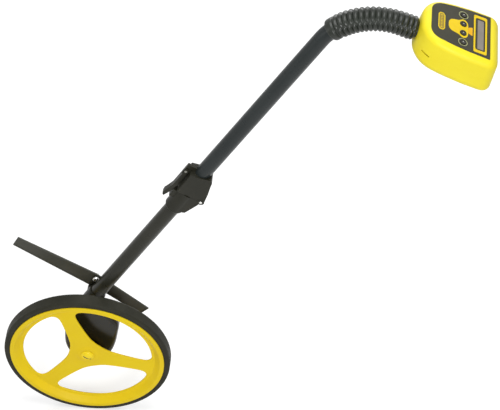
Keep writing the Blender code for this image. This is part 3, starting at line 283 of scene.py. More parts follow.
# Room
CAMERA_AZIMUTH = math.radians(4.85)
CAMERA_ELEVATION = math.radians(47.51)
CAMERA_DISTANCE = 3.8014
CAMERA_AIM = (0.31118, 0, 0.60596)
CAMERA_LENS = 156.19
CAMERA_SENSOR = 36
WORLD_LIGHT = 0.27
FLOOR_HALF = 14
FLOOR_LEVEL = -0.0005
FLOOR_TONE = 0.62
FLOOR_ROUGH = 0.9
FLOOR_GLOW = 0.52
# Name, place, aim, size and power of each lamp
LAMPS = (
    ("overhead", (0.3, 0.0, 2.9), (0.3, 0, 0.4), (1.8, 1.4), 34),
    ("key", (0.9, -2.7, 1.9), (0.3, 0, 0.4), (1.0, 1.0), 56),
    ("fill", (-2.6, -1.4, 1.3), (0.3, 0, 0.5), (1.4, 1.4), 7),
    ("back", (0.6, 2.6, 1.8), (0.3, 0, 0.6), (2.2, 1.2), 32),
)


# Outlines

def rounded(corners, radius, steps=8):
    """The closed outline with each corner replaced by an arc."""
    outline = []
    count = len(corners)
    for i, corner in enumerate(corners):
        here = Vector(corner)
        size = radius[i] if isinstance(radius, (list, tuple)) else radius
        if not size:
            outline.append(tuple(here))
            continue
        outline += arc(Vector(corners[i - 1]), here, Vector(corners[(i + 1) % count]), size, steps)
    return outline


def arc(before, here, following, size, steps):
    back = (before - here).normalized()
    ahead = (following - here).normalized()
    half = back.angle(ahead) / 2
    middle = here + (back + ahead).normalized() * size / math.sin(half)
    start = here + back * size / math.tan(half) - middle
    end = here + ahead * size / math.tan(half) - middle
    swing = start.angle_signed(end)
    return [tuple(middle + Matrix.Rotation(-swing * i / steps, 2) @ start) for i in range(steps + 1)]


def chain(rows, steps=5):
    """An open profile from rows of radius, level and corner radius, its inner corners rounded."""
    points = [row[:2] for row in rows]
    made = [points[0]]
    for i in range(1, len(points) - 1):
        if rows[i][2]:
            made += arc(Vector(points[i - 1]), Vector(points[i]), Vector(points[i + 1]), rows[i][2], steps)
        else:
            made.append(points[i])
    return made + [points[-1]]


def resampled(outline, count):
    """The closed outline as evenly spaced points."""
    ends = [Vector(p) for p in outline] + [Vector(outline[0])]
    lengths = [(b - a).length for a, b in zip(ends, ends[1:])]
    total = sum(lengths)
    made = []
    i = 0
    passed = 0
    for k in range(count):
        target = total * k / count
        while passed + lengths[i] < target:
            passed += lengths[i]
            i += 1
        share = (target - passed) / lengths[i] if lengths[i] else 0
        made.append(ends[i].lerp(ends[i + 1], share))
    return made


def relaxed(points, rounds):
    """A closed outline with its kinks softened."""
    for _ in range(rounds):
        points = [(points[i - 1] + here * 2 + points[(i + 1) % len(points)]) / 4
                  for i, here in enumerate(points)]
    return points


def smooth_outline(outline, count, rounds):
    """The closed outline as a count of even points, softened over some rounds."""
    return [tuple(p) for p in relaxed(resampled(outline, count), rounds)]


def signed_area(outline):
    return sum(a[0] * b[1] - b[0] * a[1] for a, b in zip(outline, outline[1:] + outline[:1])) / 2


def grown(outline, width):
    """The outline moved outward by a width, or inward where it is negative."""
    side = 1 if signed_area(outline) > 0 else -1
    made = []
    for i, here in enumerate(outline):
        before = (Vector(here) - Vector(outline[i - 1])).normalized()
        after = (Vector(outline[(i + 1) % len(outline)]) - Vector(here)).normalized()
        along = (before + after).normalized()
        normal = Vector((along.y, -along.x)) * side
        stretch = max(along.dot(after), 0.5)
        made.append(tuple(Vector(here) + normal * width / stretch))
    return made


def mirrored(half):
    """The outline and its image across X."""
    return list(half) + [(x, -y) for x, y in reversed(half)]


def rectangle(half_x, half_y, x=0.0, y=0.0):
    return [(x - half_x, y - half_y), (x + half_x, y - half_y), (x + half_x, y + half_y),
            (x - half_x, y + half_y)]


def circle(radius, steps, x=0.0, y=0.0):
    return [(x + radius * math.cos(2 * math.pi * i / steps), y + radius * math.sin(2 * math.pi * i / steps))
            for i in range(steps)]


# Shapes

def loop(shape, outline, level):
    return [shape.verts.new((x, y, level)) for x, y in outline]


def bridge(shape, low, high):
    for i in range(len(low)):
        j = (i + 1) % len(low)
        shape.faces.new((low[i], low[j], high[j], high[i]))


def ring_edges(shape, ring):
    made = []
    for a, b in zip(ring, ring[1:] + ring[:1]):
        made.append(shape.edges.get((a, b)) or shape.edges.new((a, b)))
    return made


def filled(shape, rings):
    """A flat surface between the first ring and the holes in it."""
    if len(rings) == 1:
        shape.faces.new(rings[0])
        return
    edges = [edge for ring in rings for edge in ring_edges(shape, ring)]
    bmesh.ops.triangle_fill(shape, use_beauty=True, use_dissolve=False, edges=edges)


def edge_levels(low, high, round_low, round_high, steps=4):
    """Pairs of inset and level that run up a wall with rounded ends."""
    made = []
    if round_low:
        for i in range(steps + 1):
            turn = math.pi / 2 * i / steps
            made.append((round_low * (1 - math.sin(turn)), low + round_low * (1 - math.cos(turn))))
    else:
        made.append((0, low))
    if round_high:
        for i in range(steps + 1):
            turn = math.pi / 2 * i / steps
            made.append((round_high * (1 - math.cos(turn)), high - round_high * (1 - math.sin(turn))))
    else:
        made.append((0, high))
    return made


def plate(outline, low, high, holes=(), round_low=0.0, round_high=0.0, steps=4):
    """A plate with holes, its edges rounded, as a bmesh."""
    shape = bmesh.new()
    tops = []
    bottoms = []
    for i, edge in enumerate([outline, *holes]):
        sign = -1 if i == 0 else 1
        rings = [loop(shape, grown(edge, sign * inset) if inset else edge, level)
                 for inset, level in edge_levels(low, high, round_low, round_high, steps)]
        for a, b in zip(rings, rings[1:]):
            bridge(shape, a, b)
        bottoms.append(rings[0])
        tops.append(rings[-1])
    filled(shape, tops)
    filled(shape, bottoms)
    return shape


def turned(profile, steps, closed=False):
    """A profile of (radius, level) turned about Z, as a bmesh. Points with no radius close it."""
    shape = bmesh.new()
    rings = []
    for radius, level in profile:
        if radius:
            rings.append(loop(shape, circle(radius, steps), level))
        else:
            rings.append([shape.verts.new((0, 0, level))])
    pairs = list(zip(rings, rings[1:]))
    if closed:
        pairs.append((rings[-1], rings[0]))
    for a, b in pairs:
        if len(a) == len(b) == 1:
            continue
        if len(a) == 1 or len(b) == 1:
            tip = (a if len(a) == 1 else b)[0]
            around = b if len(a) == 1 else a
            for i in range(steps):
                shape.faces.new((tip, around[i], around[(i + 1) % steps]))
        else:
            bridge(shape, a, b)
    return shape


def station(shape, along, radius_at, steps):
    x, z, turn = pole_point(along)
    place = Matrix.Translation((x, 0, z)) @ Matrix.Rotation(turn, 4, "Y")
    made = []
    for i in range(steps):
        angle = 2 * math.pi * i / steps
        radius = radius_at(angle)
        made.append(shape.verts.new(place @ Vector((radius * math.cos(angle), radius * math.sin(angle), 0))))
    return made


def steady(radius):
    return lambda angle: radius


def sleeve(skin, bore_r, bore_stops, steps):
    """A hollow tube along the pole: skin holds (length along, radius by angle), and the bore is plain."""
    shape = bmesh.new()
    outer = [station(shape, along, radius_at, steps) for along, radius_at in skin]
    inner = [station(shape, along, steady(bore_r), steps) for along in bore_stops]
    for rings in (outer, inner):
        for a, b in zip(rings, rings[1:]):
            bridge(shape, a, b)
    bridge(shape, outer[0], inner[0])
    bridge(shape, outer[-1], inner[-1])
    return shape


def pole_point(along):
    """Place and turn on the pole's axis at a length along it."""
    bend_length = BEND_R * BEND_ANGLE
    if along <= BEND_START:
        return 0, along, 0
    if along <= BEND_START + bend_length:
        turn = (along - BEND_START) / BEND_R
        return BEND_R * (1 - math.cos(turn)), BEND_START + BEND_R * math.sin(turn), turn
    past = along - BEND_START - bend_length
    return BEND_END[0] + past * math.sin(BEND_ANGLE), BEND_END[2] + past * math.cos(BEND_ANGLE), BEND_ANGLE


# Pieces

def scene_object(name, shape, place):
    bmesh.ops.transform(shape, matrix=place, verts=shape.verts)
    bmesh.ops.recalc_face_normals(shape, faces=shape.faces)
    mesh = bpy.data.meshes.new(name)
    shape.to_mesh(mesh)
    shape.free()
    made = bpy.data.objects.new(name, mesh)
    bpy.context.scene.collection.objects.link(made)
    return made


def carved(target, cutters, operation="DIFFERENCE"):
    """The target with each cutter taken out of it or joined to it."""
    for cutter in cutters:
        step = target.modifiers.new("carve", "BOOLEAN")
        step.operation = operation
        step.solver = "EXACT"
        step.object = cutter
    graph = bpy.context.evaluated_depsgraph_get()
    mesh = bpy.data.meshes.new_from_object(target.evaluated_get(graph))
    target.modifiers.clear()
    target.data = mesh
    for cutter in cutters:
        bpy.data.objects.remove(cutter)
    return target


def finished(obj, look, body, stands_for=(), sharp=35.0):
    """Shades a piece, gives it its material and puts it on its body."""
    mesh = obj.data
    mesh.name = obj.name
    mesh.materials.clear()
    mesh.materials.append(look)
    mesh.shade_smooth()
    mesh.set_sharp_from_angle(angle=math.radians(sharp))
    weigh = obj.modifiers.new("weigh", "WEIGHTED_NORMAL")
    weigh.keep_sharp = True
    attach(obj, body)
    if stands_for:
        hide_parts(*stands_for)
    return obj


# Materials

def node_material(name):
    made = bpy.data.materials.new(name)
    made.use_nodes = True
    return made, made.node_tree, made.node_tree.nodes["Principled BSDF"]


def noise(tree, scale, detail=3.0, rough=0.5, stretch=None):
    where = tree.nodes.new("ShaderNodeTexCoord")
    made = tree.nodes.new("ShaderNodeTexNoise")
    made.inputs["Scale"].default_value = scale
    made.inputs["Detail"].default_value = detail
    made.inputs["Roughness"].default_value = rough
    source = where.outputs["Object"]
    if stretch:
        mapping = tree.nodes.new("ShaderNodeMapping")
        mapping.inputs["Scale"].default_value = stretch
        tree.links.new(source, mapping.inputs["Vector"])
        source = mapping.outputs["Vector"]
    tree.links.new(source, made.inputs["Vector"])
    return made.outputs["Fac"]


def ramp(tree, source, low, high, low_value, high_value):
    made = tree.nodes.new("ShaderNodeMapRange")
    made.inputs["From Min"].default_value = low
    made.inputs["From Max"].default_value = high
    made.inputs["To Min"].default_value = low_value
    made.inputs["To Max"].default_value = high_value
    tree.links.new(source, made.inputs["Value"])
    return made.outputs["Result"]


def mixed(tree, factor, one, two):
    made = tree.nodes.new("ShaderNodeMix")
    made.data_type = "RGBA"
    tree.links.new(factor, made.inputs["Factor"])
    for socket, value in ((made.inputs["A"], one), (made.inputs["B"], two)):
        if isinstance(value, tuple):
            socket.default_value = (*value, 1)
        else:
            tree.links.new(value, socket)
    return made.outputs["Result"]


def bumped(tree, shader, layers):
    """Stacks bumps: each layer is (height socket, distance in metres, strength)."""
    normal = None
    for height, distance, strength in layers:
        made = tree.nodes.new("ShaderNodeBump")
        made.inputs["Distance"].default_value = distance
        made.inputs["Strength"].default_value = strength
        tree.links.new(height, made.inputs["Height"])
        if normal:
            tree.links.new(normal, made.inputs["Normal"])
        normal = made.outputs["Normal"]
    tree.links.new(normal, shader.inputs["Normal"])


def surface(name, colour, tint, rough, spread, grain, depth, specular=0.5, dust=None, dust_share=0.2,
            patch=14.0, ripple=None):
    """A moulded or coated surface: broad colour drift, fine grain, worn patches and dust specks."""
    made, tree, shader = node_material(name)
    broad = noise(tree, patch, 4.0, 0.55)
    base = mixed(tree, ramp(tree, broad, 0.35, 0.68, 0, 1), colour, tint)
    fine = noise(tree, grain, 2.0)
    if dust:
        speck = ramp(tree, noise(tree, 240.0, 5.0, 0.7), 0.62, 0.74, 0, dust_share)
        base = mixed(tree, speck, base, dust)
    tree.links.new(base, shader.inputs["Base Color"])
    tree.links.new(ramp(tree, noise(tree, 55.0, 4.0, 0.6), 0.3, 0.7, rough - spread, rough + spread),
                   shader.inputs["Roughness"])
    shader.inputs["Specular IOR Level"].default_value = specular
    layers = [(fine, depth, 0.6)]
    if ripple:
        layers.append((noise(tree, ripple[0], 2.0), ripple[1], 0.5))
    bumped(tree, shader, layers)
    return made


def metal_surface(name, colour, dark, rough):
    """Bright metal with brushed streaks and faint stains."""
    made, tree, shader = node_material(name)
    streak = noise(tree, 60.0, 4.0, 0.6, (1, 40, 1))
    tree.links.new(mixed(tree, ramp(tree, noise(tree, 90.0, 5.0, 0.6), 0.4, 0.75, 0, 0.6), colour, dark),
                   shader.inputs["Base Color"])
    tree.links.new(ramp(tree, streak, 0.3, 0.7, rough - 0.08, rough + 0.1), shader.inputs["Roughness"])
    shader.inputs["Metallic"].default_value = 1
    bumped(tree, shader, [(streak, 0.00003, 0.4)])
    return made


def cell_surface():
    """A printed cell sleeve with soft bands round it."""
    made, tree, shader = node_material("cell_sleeve")
    where = tree.nodes.new("ShaderNodeTexCoord")
    split = tree.nodes.new("ShaderNodeSeparateXYZ")
    tree.links.new(where.outputs["Object"], split.inputs["Vector"])
    band = ramp(tree, split.outputs["Y"], 0.010, 0.012, 0, 1)
    base = mixed(tree, band, (0.035, 0.036, 0.04), (0.50, 0.34, 0.10))
    tree.links.new(base, shader.inputs["Base Color"])
    shader.inputs["Metallic"].default_value = 0.4
    tree.links.new(ramp(tree, noise(tree, 120.0, 3.0), 0.3, 0.7, 0.22, 0.34), shader.inputs["Roughness"])
    bumped(tree, shader, [(noise(tree, 900.0, 2.0), 0.00003, 0.4)])
    return made


def glass_surface():
    """The display: a grey liquid-crystal field under a glossy clear face."""
    made, tree, shader = node_material("display_glass")
    drift = noise(tree, 38.0, 3.0, 0.5)
    base = mixed(tree, ramp(tree, drift, 0.35, 0.65, 0, 1), (0.200, 0.176, 0.150), (0.235, 0.208, 0.180))
    tree.links.new(base, shader.inputs["Base Color"])
    shader.inputs["Roughness"].default_value = 0.32
    shader.inputs["Specular IOR Level"].default_value = 0.3
    shader.inputs["Coat Weight"].default_value = 0.2
    shader.inputs["Coat Roughness"].default_value = 0.06
    bumped(tree, shader, [(noise(tree, 700.0, 2.0), 0.00002, 0.3)])
    return made


# Each surface: name, two base colours, roughness and its spread, and the grain's scale and depth in metres
LOOKS = {
    "wheel_yellow": surface(
        "wheel_yellow", (0.80, 0.57, 0.010), (0.84, 0.63, 0.006), 0.46, 0.06, 1500.0, 0.00005,
        specular=0.17, dust=(0.66, 0.48, 0.05), dust_share=0.12, patch=9.0, ripple=(160.0, 0.0001)),
    "cap_yellow": surface(
        "cap_yellow", (0.90, 0.68, 0.008), (0.94, 0.72, 0.008), 0.34, 0.05, 1500.0, 0.00005,
        specular=0.32, patch=20.0),
    "head_yellow": surface(
        "head_yellow", (0.80, 0.665, 0.022), (0.83, 0.71, 0.026), 0.46, 0.05, 2200.0, 0.000025,
        specular=0.26, dust=(0.75, 0.60, 0.12), dust_share=0.08, patch=16.0, ripple=(150.0, 0.00006)),
    "ink_yellow": surface(
        "ink_yellow", (0.74, 0.515, 0.006), (0.78, 0.56, 0.006), 0.40, 0.04, 2600.0, 0.00003,
        specular=0.22, patch=60.0),
    "ink_orange": surface(
        "ink_orange", (0.76, 0.40, 0.008), (0.80, 0.45, 0.008), 0.40, 0.04, 2600.0, 0.00003,
        specular=0.22, patch=60.0),
    "ink_olive": surface(
        "ink_olive", (0.27, 0.185, 0.018), (0.33, 0.23, 0.022), 0.40, 0.04, 2600.0, 0.00003,
        specular=0.25, patch=90.0),
    "ring_ink": surface(
        "ring_ink", (0.33, 0.34, 0.14), (0.38, 0.38, 0.18), 0.35, 0.04, 2600.0, 0.00003, patch=90.0),
    "glyph_ink": surface(
        "glyph_ink", (0.34, 0.35, 0.31), (0.42, 0.42, 0.38), 0.35, 0.04, 2600.0, 0.00003, patch=90.0),
    "black_plastic": surface(
        "black_moulding", (0.017, 0.017, 0.011), (0.023, 0.0225, 0.015), 0.36, 0.07, 1600.0, 0.00007,
        specular=0.18, dust=(0.055, 0.052, 0.036), dust_share=0.20, patch=22.0),
    "gloss_black": surface(
        "gloss_black_moulding", (0.0115, 0.0105, 0.0065), (0.016, 0.0145, 0.010), 0.24, 0.05, 1600.0, 0.00004,
        specular=0.26, dust=(0.06, 0.055, 0.040), dust_share=0.15, patch=22.0, ripple=(60.0, 0.0003)),
    "black_coated_metal": surface(
        "powder_coat", (0.018, 0.018, 0.012), (0.023, 0.023, 0.016), 0.32, 0.07, 1300.0, 0.00007,
        specular=0.22, dust=(0.08, 0.076, 0.056), dust_share=0.18, patch=18.0, ripple=(420.0, 0.00007)),
    "cool_coated_metal": surface(
        "cool_powder_coat", (0.017, 0.0215, 0.0215), (0.022, 0.027, 0.027), 0.32, 0.07, 1300.0, 0.00007,
        specular=0.22, dust=(0.08, 0.082, 0.078), dust_share=0.18, patch=18.0, ripple=(420.0, 0.00007)),
    # A lighter, rougher copy of the black powder coat with more dust, used on the kickstand
    "pale_coated_metal": surface(
        "pale_powder_coat", (0.042, 0.042, 0.032), (0.052, 0.051, 0.040), 0.38, 0.07, 1300.0, 0.00008,
        specular=0.28, dust=(0.12, 0.115, 0.09), dust_share=0.3, patch=18.0, ripple=(420.0, 0.00007)),
    "tyre_rubber": surface(
        "tyre_rubber", (0.019, 0.019, 0.0125), (0.026, 0.0255, 0.017), 0.60, 0.08, 1100.0, 0.00014,
        specular=0.16, dust=(0.085, 0.076, 0.050), dust_share=0.40, patch=26.0),
    "grip_rubber": surface(
        "grip_rubber", (0.011, 0.014, 0.010), (0.016, 0.0195, 0.014), 0.31, 0.06, 1500.0, 0.00008,
        specular=0.38, dust=(0.06, 0.064, 0.050), dust_share=0.2, patch=30.0),
    "panel_black": surface(
        "panel_film", (0.034, 0.0325, 0.0195), (0.040, 0.0385, 0.0240), 0.42, 0.04, 2600.0, 0.00004,
        specular=0.20, dust=(0.09, 0.086, 0.066), dust_share=0.12, patch=34.0),
    "bright_steel": metal_surface("zinc_steel", (0.62, 0.62, 0.60), (0.42, 0.41, 0.38), 0.30),
    "dull_steel": metal_surface("dull_steel", (0.26, 0.26, 0.23), (0.15, 0.145, 0.125), 0.40),
    "bush_bronze": metal_surface("sintered_bronze", (0.45, 0.30, 0.13), (0.28, 0.19, 0.09), 0.42),
    "cell_wrap": cell_surface(),
    "display_grey": glass_surface(),
}


# Wheel pieces

def window_outline(angle, step):
    side = [Vector((a * WINDOW_R, b * WINDOW_R)) for a, b in WINDOW_SIDE]
    corner = math.asin(WINDOW_SIDE[0][1])
    corners = [Matrix.Rotation(angle, 2) @ p for p in reversed(side[1:])]
    radii = [WINDOW_SIDE_BLEND] + [0 for _ in side[2:]]
    for i in range(WINDOW_ARC_STEPS + 1):
        turn = angle + corner + (step - 2 * corner) * i / WINDOW_ARC_STEPS
        corners.append(Vector((WINDOW_R * math.cos(turn), WINDOW_R * math.sin(turn))))
        radii.append(WINDOW_FAR_CORNER if i in (0, WINDOW_ARC_STEPS) else 0)
    far = [Matrix.Rotation(angle + step, 2) @ Vector((p.x, -p.y)) for p in side[1:]]
    corners += far
    radii += [0 for _ in far[1:]] + [WINDOW_SIDE_BLEND]
    middle = angle + step / 2
    reach = WINDOW_R * WINDOW_TIP_SHARE
    corners.append(Vector((reach * math.cos(middle), reach * math.sin(middle))))
    radii.append(0)
    return smooth_outline(rounded(corners, radii, CORNER_STEPS), *WINDOW_SMOOTH)


def wheel_rim():
    """Web with three rounded windows, a dished rim with a rolled lip, the tyre channel and the hub."""
    step = 2 * math.pi / WINDOWS
    windows = [window_outline(SPOKE_ANGLE + 2 * math.pi * i / WINDOWS, step) for i in range(WINDOWS)]
    shape = bmesh.new()
    fronts = []
    backs = []
    for edge in windows:
        rings = [loop(shape, grown(edge, inset) if inset else edge, level)
                 for inset, level in edge_levels(WEB_LOW, WEB_HIGH, WEB_ROUND_BACK, WEB_ROUND_FRONT)]
        for a, b in zip(rings, rings[1:]):
            bridge(shape, a, b)
        backs.append(rings[0])
        fronts.append(rings[-1])
    rings = [loop(shape, circle(radius, WHEEL_STEPS), level) for radius, level in chain(RIM_PROFILE)]
    for a, b in zip(rings, rings[1:]):
        bridge(shape, a, b)
    hub_steps = WHEEL_STEPS // 2
    cores = [loop(shape, circle(radius, hub_steps), level) for radius, level in chain(HUB_PROFILE)]
    for a, b in zip(cores, cores[1:]):
        bridge(shape, a, b)
    filled(shape, [rings[0], *fronts, cores[0]])
    filled(shape, [rings[-1], *backs, cores[-1]])
    rim_piece = scene_object("rim", shape, WHEEL_FRAME)
    finished(rim_piece, LOOKS["wheel_yellow"], "wheel", ["wheel_rim"], sharp=32.0)


def tyre():
    """A crowned tread with soft shoulders, a mould line and a bead that sits in the channel."""
    crest = ((TYRE_R + TYRE_MOULD_LINE, 0, 0),)
    other = tuple((radius, -level, corner) for radius, level, corner in reversed(TYRE_SIDE))
    profile = chain(TYRE_SIDE + crest + other)
    made = scene_object("tyre_tread", turned(profile, WHEEL_STEPS, closed=True), WHEEL_FRAME)
    finished(made, LOOKS["tyre_rubber"], "wheel", ["tyre"], sharp=32.0)


def hub_cap():
    """A low dome inside a raised ring."""
    base = HUB_FACE + GAP
    profile = chain([(radius, base + level, corner) for radius, level, corner in CAP_PROFILE])
    made = scene_object("cap_dome", turned(profile, CAP_STEPS), WHEEL_FRAME)
    finished(made, LOOKS["cap_yellow"], "wheel", ["hub_cap"], sharp=40.0)
    turn = Matrix.Translation(CAP_MARK_AT) @ Matrix.Rotation(CAP_MARK_TURN, 4, "Z")
    line = rounded(rectangle(*CAP_MARK_HALF), CAP_MARK_CORNER, steps=3)
    low, high = (base + level for level in CAP_MARK_LEVELS)
    slot = scene_object("cap_slot", plate(line, low, high), WHEEL_FRAME @ turn)
    crest = next(i for i, (radius, _) in enumerate(profile) if radius > CAP_CREST_R)
    skin = [(radius, level + CAP_MARK_PROUD) for radius, level in profile[:crest]]
    skin += [(CAP_CREST_R, 0), (0, 0)]
    carved(slot, [scene_object("cut_cap_skin", turned(skin, CAP_STEPS), WHEEL_FRAME)], "INTERSECT")
    finished(slot, LOOKS["black_plastic"], "wheel")


def housing():
    """The sensor housing's two halves, with a fuller left side than the solids have."""
    outline = smooth_outline(HOUSING_SHAPE, *HOUSING_SMOOTH)
    front = plate(outline, HOUSING_SPLIT, HOUSING_FRONT, round_low=HOUSING_SEAM_ROUND,
                  round_high=HOUSING_FRONT_ROUND, steps=SHELL_STEPS)
    back = plate(outline, HOUSING_BACK, HOUSING_SPLIT - SEAM, round_low=HOUSING_BACK_ROUND,
                 round_high=HOUSING_SEAM_ROUND, steps=COVER_STEPS)
    for name, shape, node in (("housing_front", front, "sensor_housing"),
                              ("housing_back", back, "housing_cover")):
        made = scene_object(name, shape, WHEEL_FRAME)
        finished(made, LOOKS["gloss_black"], "frame", [node])


# Pole pieces

def tube(name, low, high, body, node, look):
    bend_end = BEND_START + BEND_R * BEND_ANGLE
    stops = [low + TUBE_EDGE]
    if high > BEND_START:
        stops += [BEND_START + (bend_end - BEND_START) * i / BEND_STEPS for i in range(BEND_STEPS + 1)]
    stops.append(high - TUBE_EDGE)
    skin = ([(low, steady(TUBE_R - TUBE_EDGE))] + [(along, steady(TUBE_R)) for along in stops]
            + [(high, steady(TUBE_R - TUBE_EDGE))])
    shape = sleeve(skin, TUBE_R - TUBE_WALL, [along for along, _ in skin], TUBE_STEPS)
    made = scene_object(name, shape, POLE_FRAME)
    finished(made, LOOKS[look], body, [node])


def rib_height(along, angle, start, pitch):
    """Share of the rib height at a place on the grip, where two rows of pointed ribs mesh at the sides."""
    under = 0.5 + 0.5 * math.cos(angle)
    phase = (along - start) / pitch
    height = 0.0
    for shift, span in RIB_ROWS:
        reach = smooth_step(*span, under)
        turn = phase + shift
        number = math.floor(turn)
        crest = math.sin(math.pi * (turn - number)) ** RIB_POINT
        wobble = RIB_EVEN + RIB_WOBBLE * math.sin(number * RIB_WOBBLE_TURN + shift)
        height = max(height, wobble * (crest - (1 - reach)))
    return height


def smooth_step(low, high, value):
    """Rises from 0 to 1 between two values, or falls where the first is the greater."""
    share = min(1.0, max(0.0, (value - low) / (high - low)))
    return share * share * (3 - 2 * share)


def grip():
    """Rubber sleeve with a smooth collar and two rows of ribs, offset between the top and the underside."""
    start = GRIP_FROM
    end = HEAD_FROM - GAP
    ribs_from = start + GRIP_COLLAR
    pitch = (end - ribs_from) / RIBS
    skin = [(start, steady(GRIP_COLLAR_R - GRIP_EDGE_DROP)),
            (start + GRIP_EDGE, steady(GRIP_COLLAR_R - GRIP_EDGE_LEFT))]
    for share in GRIP_CROWN_STOPS:
        crown = GRIP_COLLAR_CROWN * math.sin(math.pi * share)
        skin.append((start + GRIP_COLLAR * share, steady(GRIP_COLLAR_R + crown)))
    count = RIBS * RIB_STEPS
    for i in range(count + 1):
        along = ribs_from + (end - ribs_from) * i / count
        fade = (smooth_step(0, RIB_FADE_IN * pitch, along - ribs_from)
                * smooth_step(0, RIB_FADE_OUT * pitch, end - along))

        def radius_at(angle, along=along, fade=fade):
            low = GRIP_VALLEY_R
            return low + (GRIP_R - low) * fade * rib_height(along, angle, ribs_from, pitch)
        skin.append((along, radius_at))
    stops = [along for along, _ in skin]
    bore = stops[:-1:len(stops) // GRIP_BORE_STOPS] + stops[-1:]
    made = scene_object("grip_sleeve", sleeve(skin, TUBE_R + GAP, bore, GRIP_STEPS), POLE_FRAME)
    finished(made, LOOKS["grip_rubber"], "upper", ["grip"], sharp=60.0)


# Head pieces

def head_outline():
    half = [(HEAD_END + HEAD_LENGTH * a, HEAD_HALF * b) for a, b in HEAD_SHARES]
    radii = [HEAD_CORNER] + [0.0] * (len(half) - 1)
    return smooth_outline(rounded(mirrored(half), radii + radii[::-1], CORNER_STEPS), *HEAD_SMOOTH)


def slanted(shape):
    """Moves the lower levels towards the user, most at the user end."""
    for point in shape.verts:
        reach = (point.co.x - HEAD_LEFT) / HEAD_LENGTH
        point.co.x -= point.co.z * (HEAD_SLANT_SHARE + HEAD_FLARE_SHARE * reach)
    return shape


def head_shells():
    outline = head_outline()
    upper = plate(outline, -PARTING + SEAM / 2, FACE_PROUD, round_low=HEAD_SEAM_ROUND,
                  round_high=HEAD_TOP_ROUND, steps=SHELL_STEPS)
    top = scene_object("case_upper", slanted(upper), HEAD_FRAME)
    inside = grown(outline, -HEAD_WALL)
    room = plate(inside, -HEAD_DEPTH / 2, -FACE_RECESS - HEAD_WALL,
                 round_high=HEAD_TOP_ROUND - HEAD_WALL, steps=ROOM_STEPS)
    seat = plate(grown(face_outline(), GAP), -FACE_RECESS, HEAD_WALL)
    carved(top, [scene_object("cut_room", slanted(room), HEAD_FRAME),
                 scene_object("cut_seat", seat, HEAD_FRAME), tube_way()])
    finished(top, LOOKS["head_yellow"], "upper", ["head_shell_upper"], sharp=34.0)
    lower = plate(outline, -HEAD_DEPTH, -PARTING - SEAM / 2, round_low=HEAD_LOW_ROUND,
                  round_high=HEAD_SEAM_ROUND, steps=SHELL_STEPS)
    low = scene_object("case_lower", slanted(lower), HEAD_FRAME)
    room = plate(inside, -HEAD_DEPTH + HEAD_WALL, -HEAD_DEPTH / 3,
                 round_low=HEAD_LOW_ROUND - HEAD_WALL, steps=ROOM_STEPS)
    carved(low, [scene_object("cut_low_room", slanted(room), HEAD_FRAME), tube_way(), door_opening(),
                 side_slit(), *screw_wells()])
    finished(low, LOOKS["head_yellow"], "upper", ["head_shell_lower"], sharp=34.0)


def tube_way():
    way = plate(circle(TUBE_R + GAP, TUBE_STEPS), -HEAD_LENGTH * WAY_BEFORE, HEAD_LENGTH * WAY_PAST)
    at = HEAD_FRAME @ Matrix.Translation((HEAD_LEFT, 0, -HEAD_RISE)) @ Matrix.Rotation(math.pi / 2, 4, "Y")
    return scene_object("cut_way", way, at)


def side_slit():
    """A narrow slot in the near side wall, under the parting line."""
    turn = Matrix.Translation(SLIT_AT) @ Matrix.Rotation(SLIT_TURN, 4, "Z")
    slit = plate(rounded(rectangle(*SLIT_HALF), SLIT_CORNER, steps=2), *SLIT_LEVELS)
    return scene_object("cut_slit", slit, HEAD_FRAME @ turn)


def span_on_face(node):
    """The solid's least and greatest place along and across the face."""
    corners = [HEAD_FRAME.inverted() @ v.co for v in frame["nodes"][node].data.vertices]
    us = [c.x for c in corners]
    vs = [c.y for c in corners]
    return min(us), min(vs), max(us), max(vs)


def door_opening():
    low_u, low_v, high_u, high_v = span_on_face("battery_door")
    gap = GAP * 2
    outline = [(low_u - gap, low_v - gap), (high_u + gap, low_v - gap), (high_u + gap, high_v + gap),
               (low_u - gap, high_v + gap)]
    opening = plate(outline, -HEAD_DEPTH - HEAD_WALL, -HEAD_DEPTH + HEAD_WALL * 2)
    return scene_object("cut_door", opening, HEAD_FRAME)


def screw_wells():
    made = []
    for i in range(1, 5):
        low_u, low_v, high_u, high_v = span_on_face(f"shell_screw_{i}")
        middle = circle(WELL_R, WELL_STEPS, (low_u + high_u) / 2, (low_v + high_v) / 2)
        well = plate(middle, -HEAD_DEPTH - HEAD_WALL, -HEAD_DEPTH + HEAD_LOW_ROUND)
        made.append(scene_object(f"cut_well_{i}", well, HEAD_FRAME))
    return made


def face_outline():
    half = [(FACE_LENGTH * a, FACE_HALF * b) for a, b in FACE_SHARES]
    radii = [FACE_CORNER] + [0.0] * (len(half) - 1)
    sharp = rounded(mirrored(half), radii + radii[::-1], steps=4)
    soft = [p for p in smooth_outline(sharp, *FACE_SMOOTH) if p[0] < FACE_SHARP_FROM]
    return soft + [p for side in (-1, 1) for p in sharp if p[0] >= FACE_SHARP_FROM and p[1] * side > 0]


def lens_outline():
    return rounded(rectangle(*LENS_HALF, -DISPLAY_MID), LENS_CORNER, steps=6)


def frame_outline():
    return rounded(rectangle(*FRAME_HALF, -DISPLAY_MID), FRAME_CORNER, steps=6)


def bulb_outline():
    return smooth_outline(mirrored(BULB_HALF), *BULB_SMOOTH)


def tab_outline():
    return rounded(mirrored(TAB_HALF), TAB_CORNER, steps=3)


def badge_outline():
    return rounded(mirrored(BADGE_HALF), BADGE_CORNER, steps=4)


def printed(name, outline, look, holes=(), proud=PRINT_PROUD):
    """A film inlay set into the panel's surface."""
    film = plate(outline, PRINT_LOW, proud, holes, round_high=PRINT_ROUND, steps=2)
    made = scene_object(name, film, HEAD_FRAME)
    return finished(made, LOOKS[look], "upper", ())


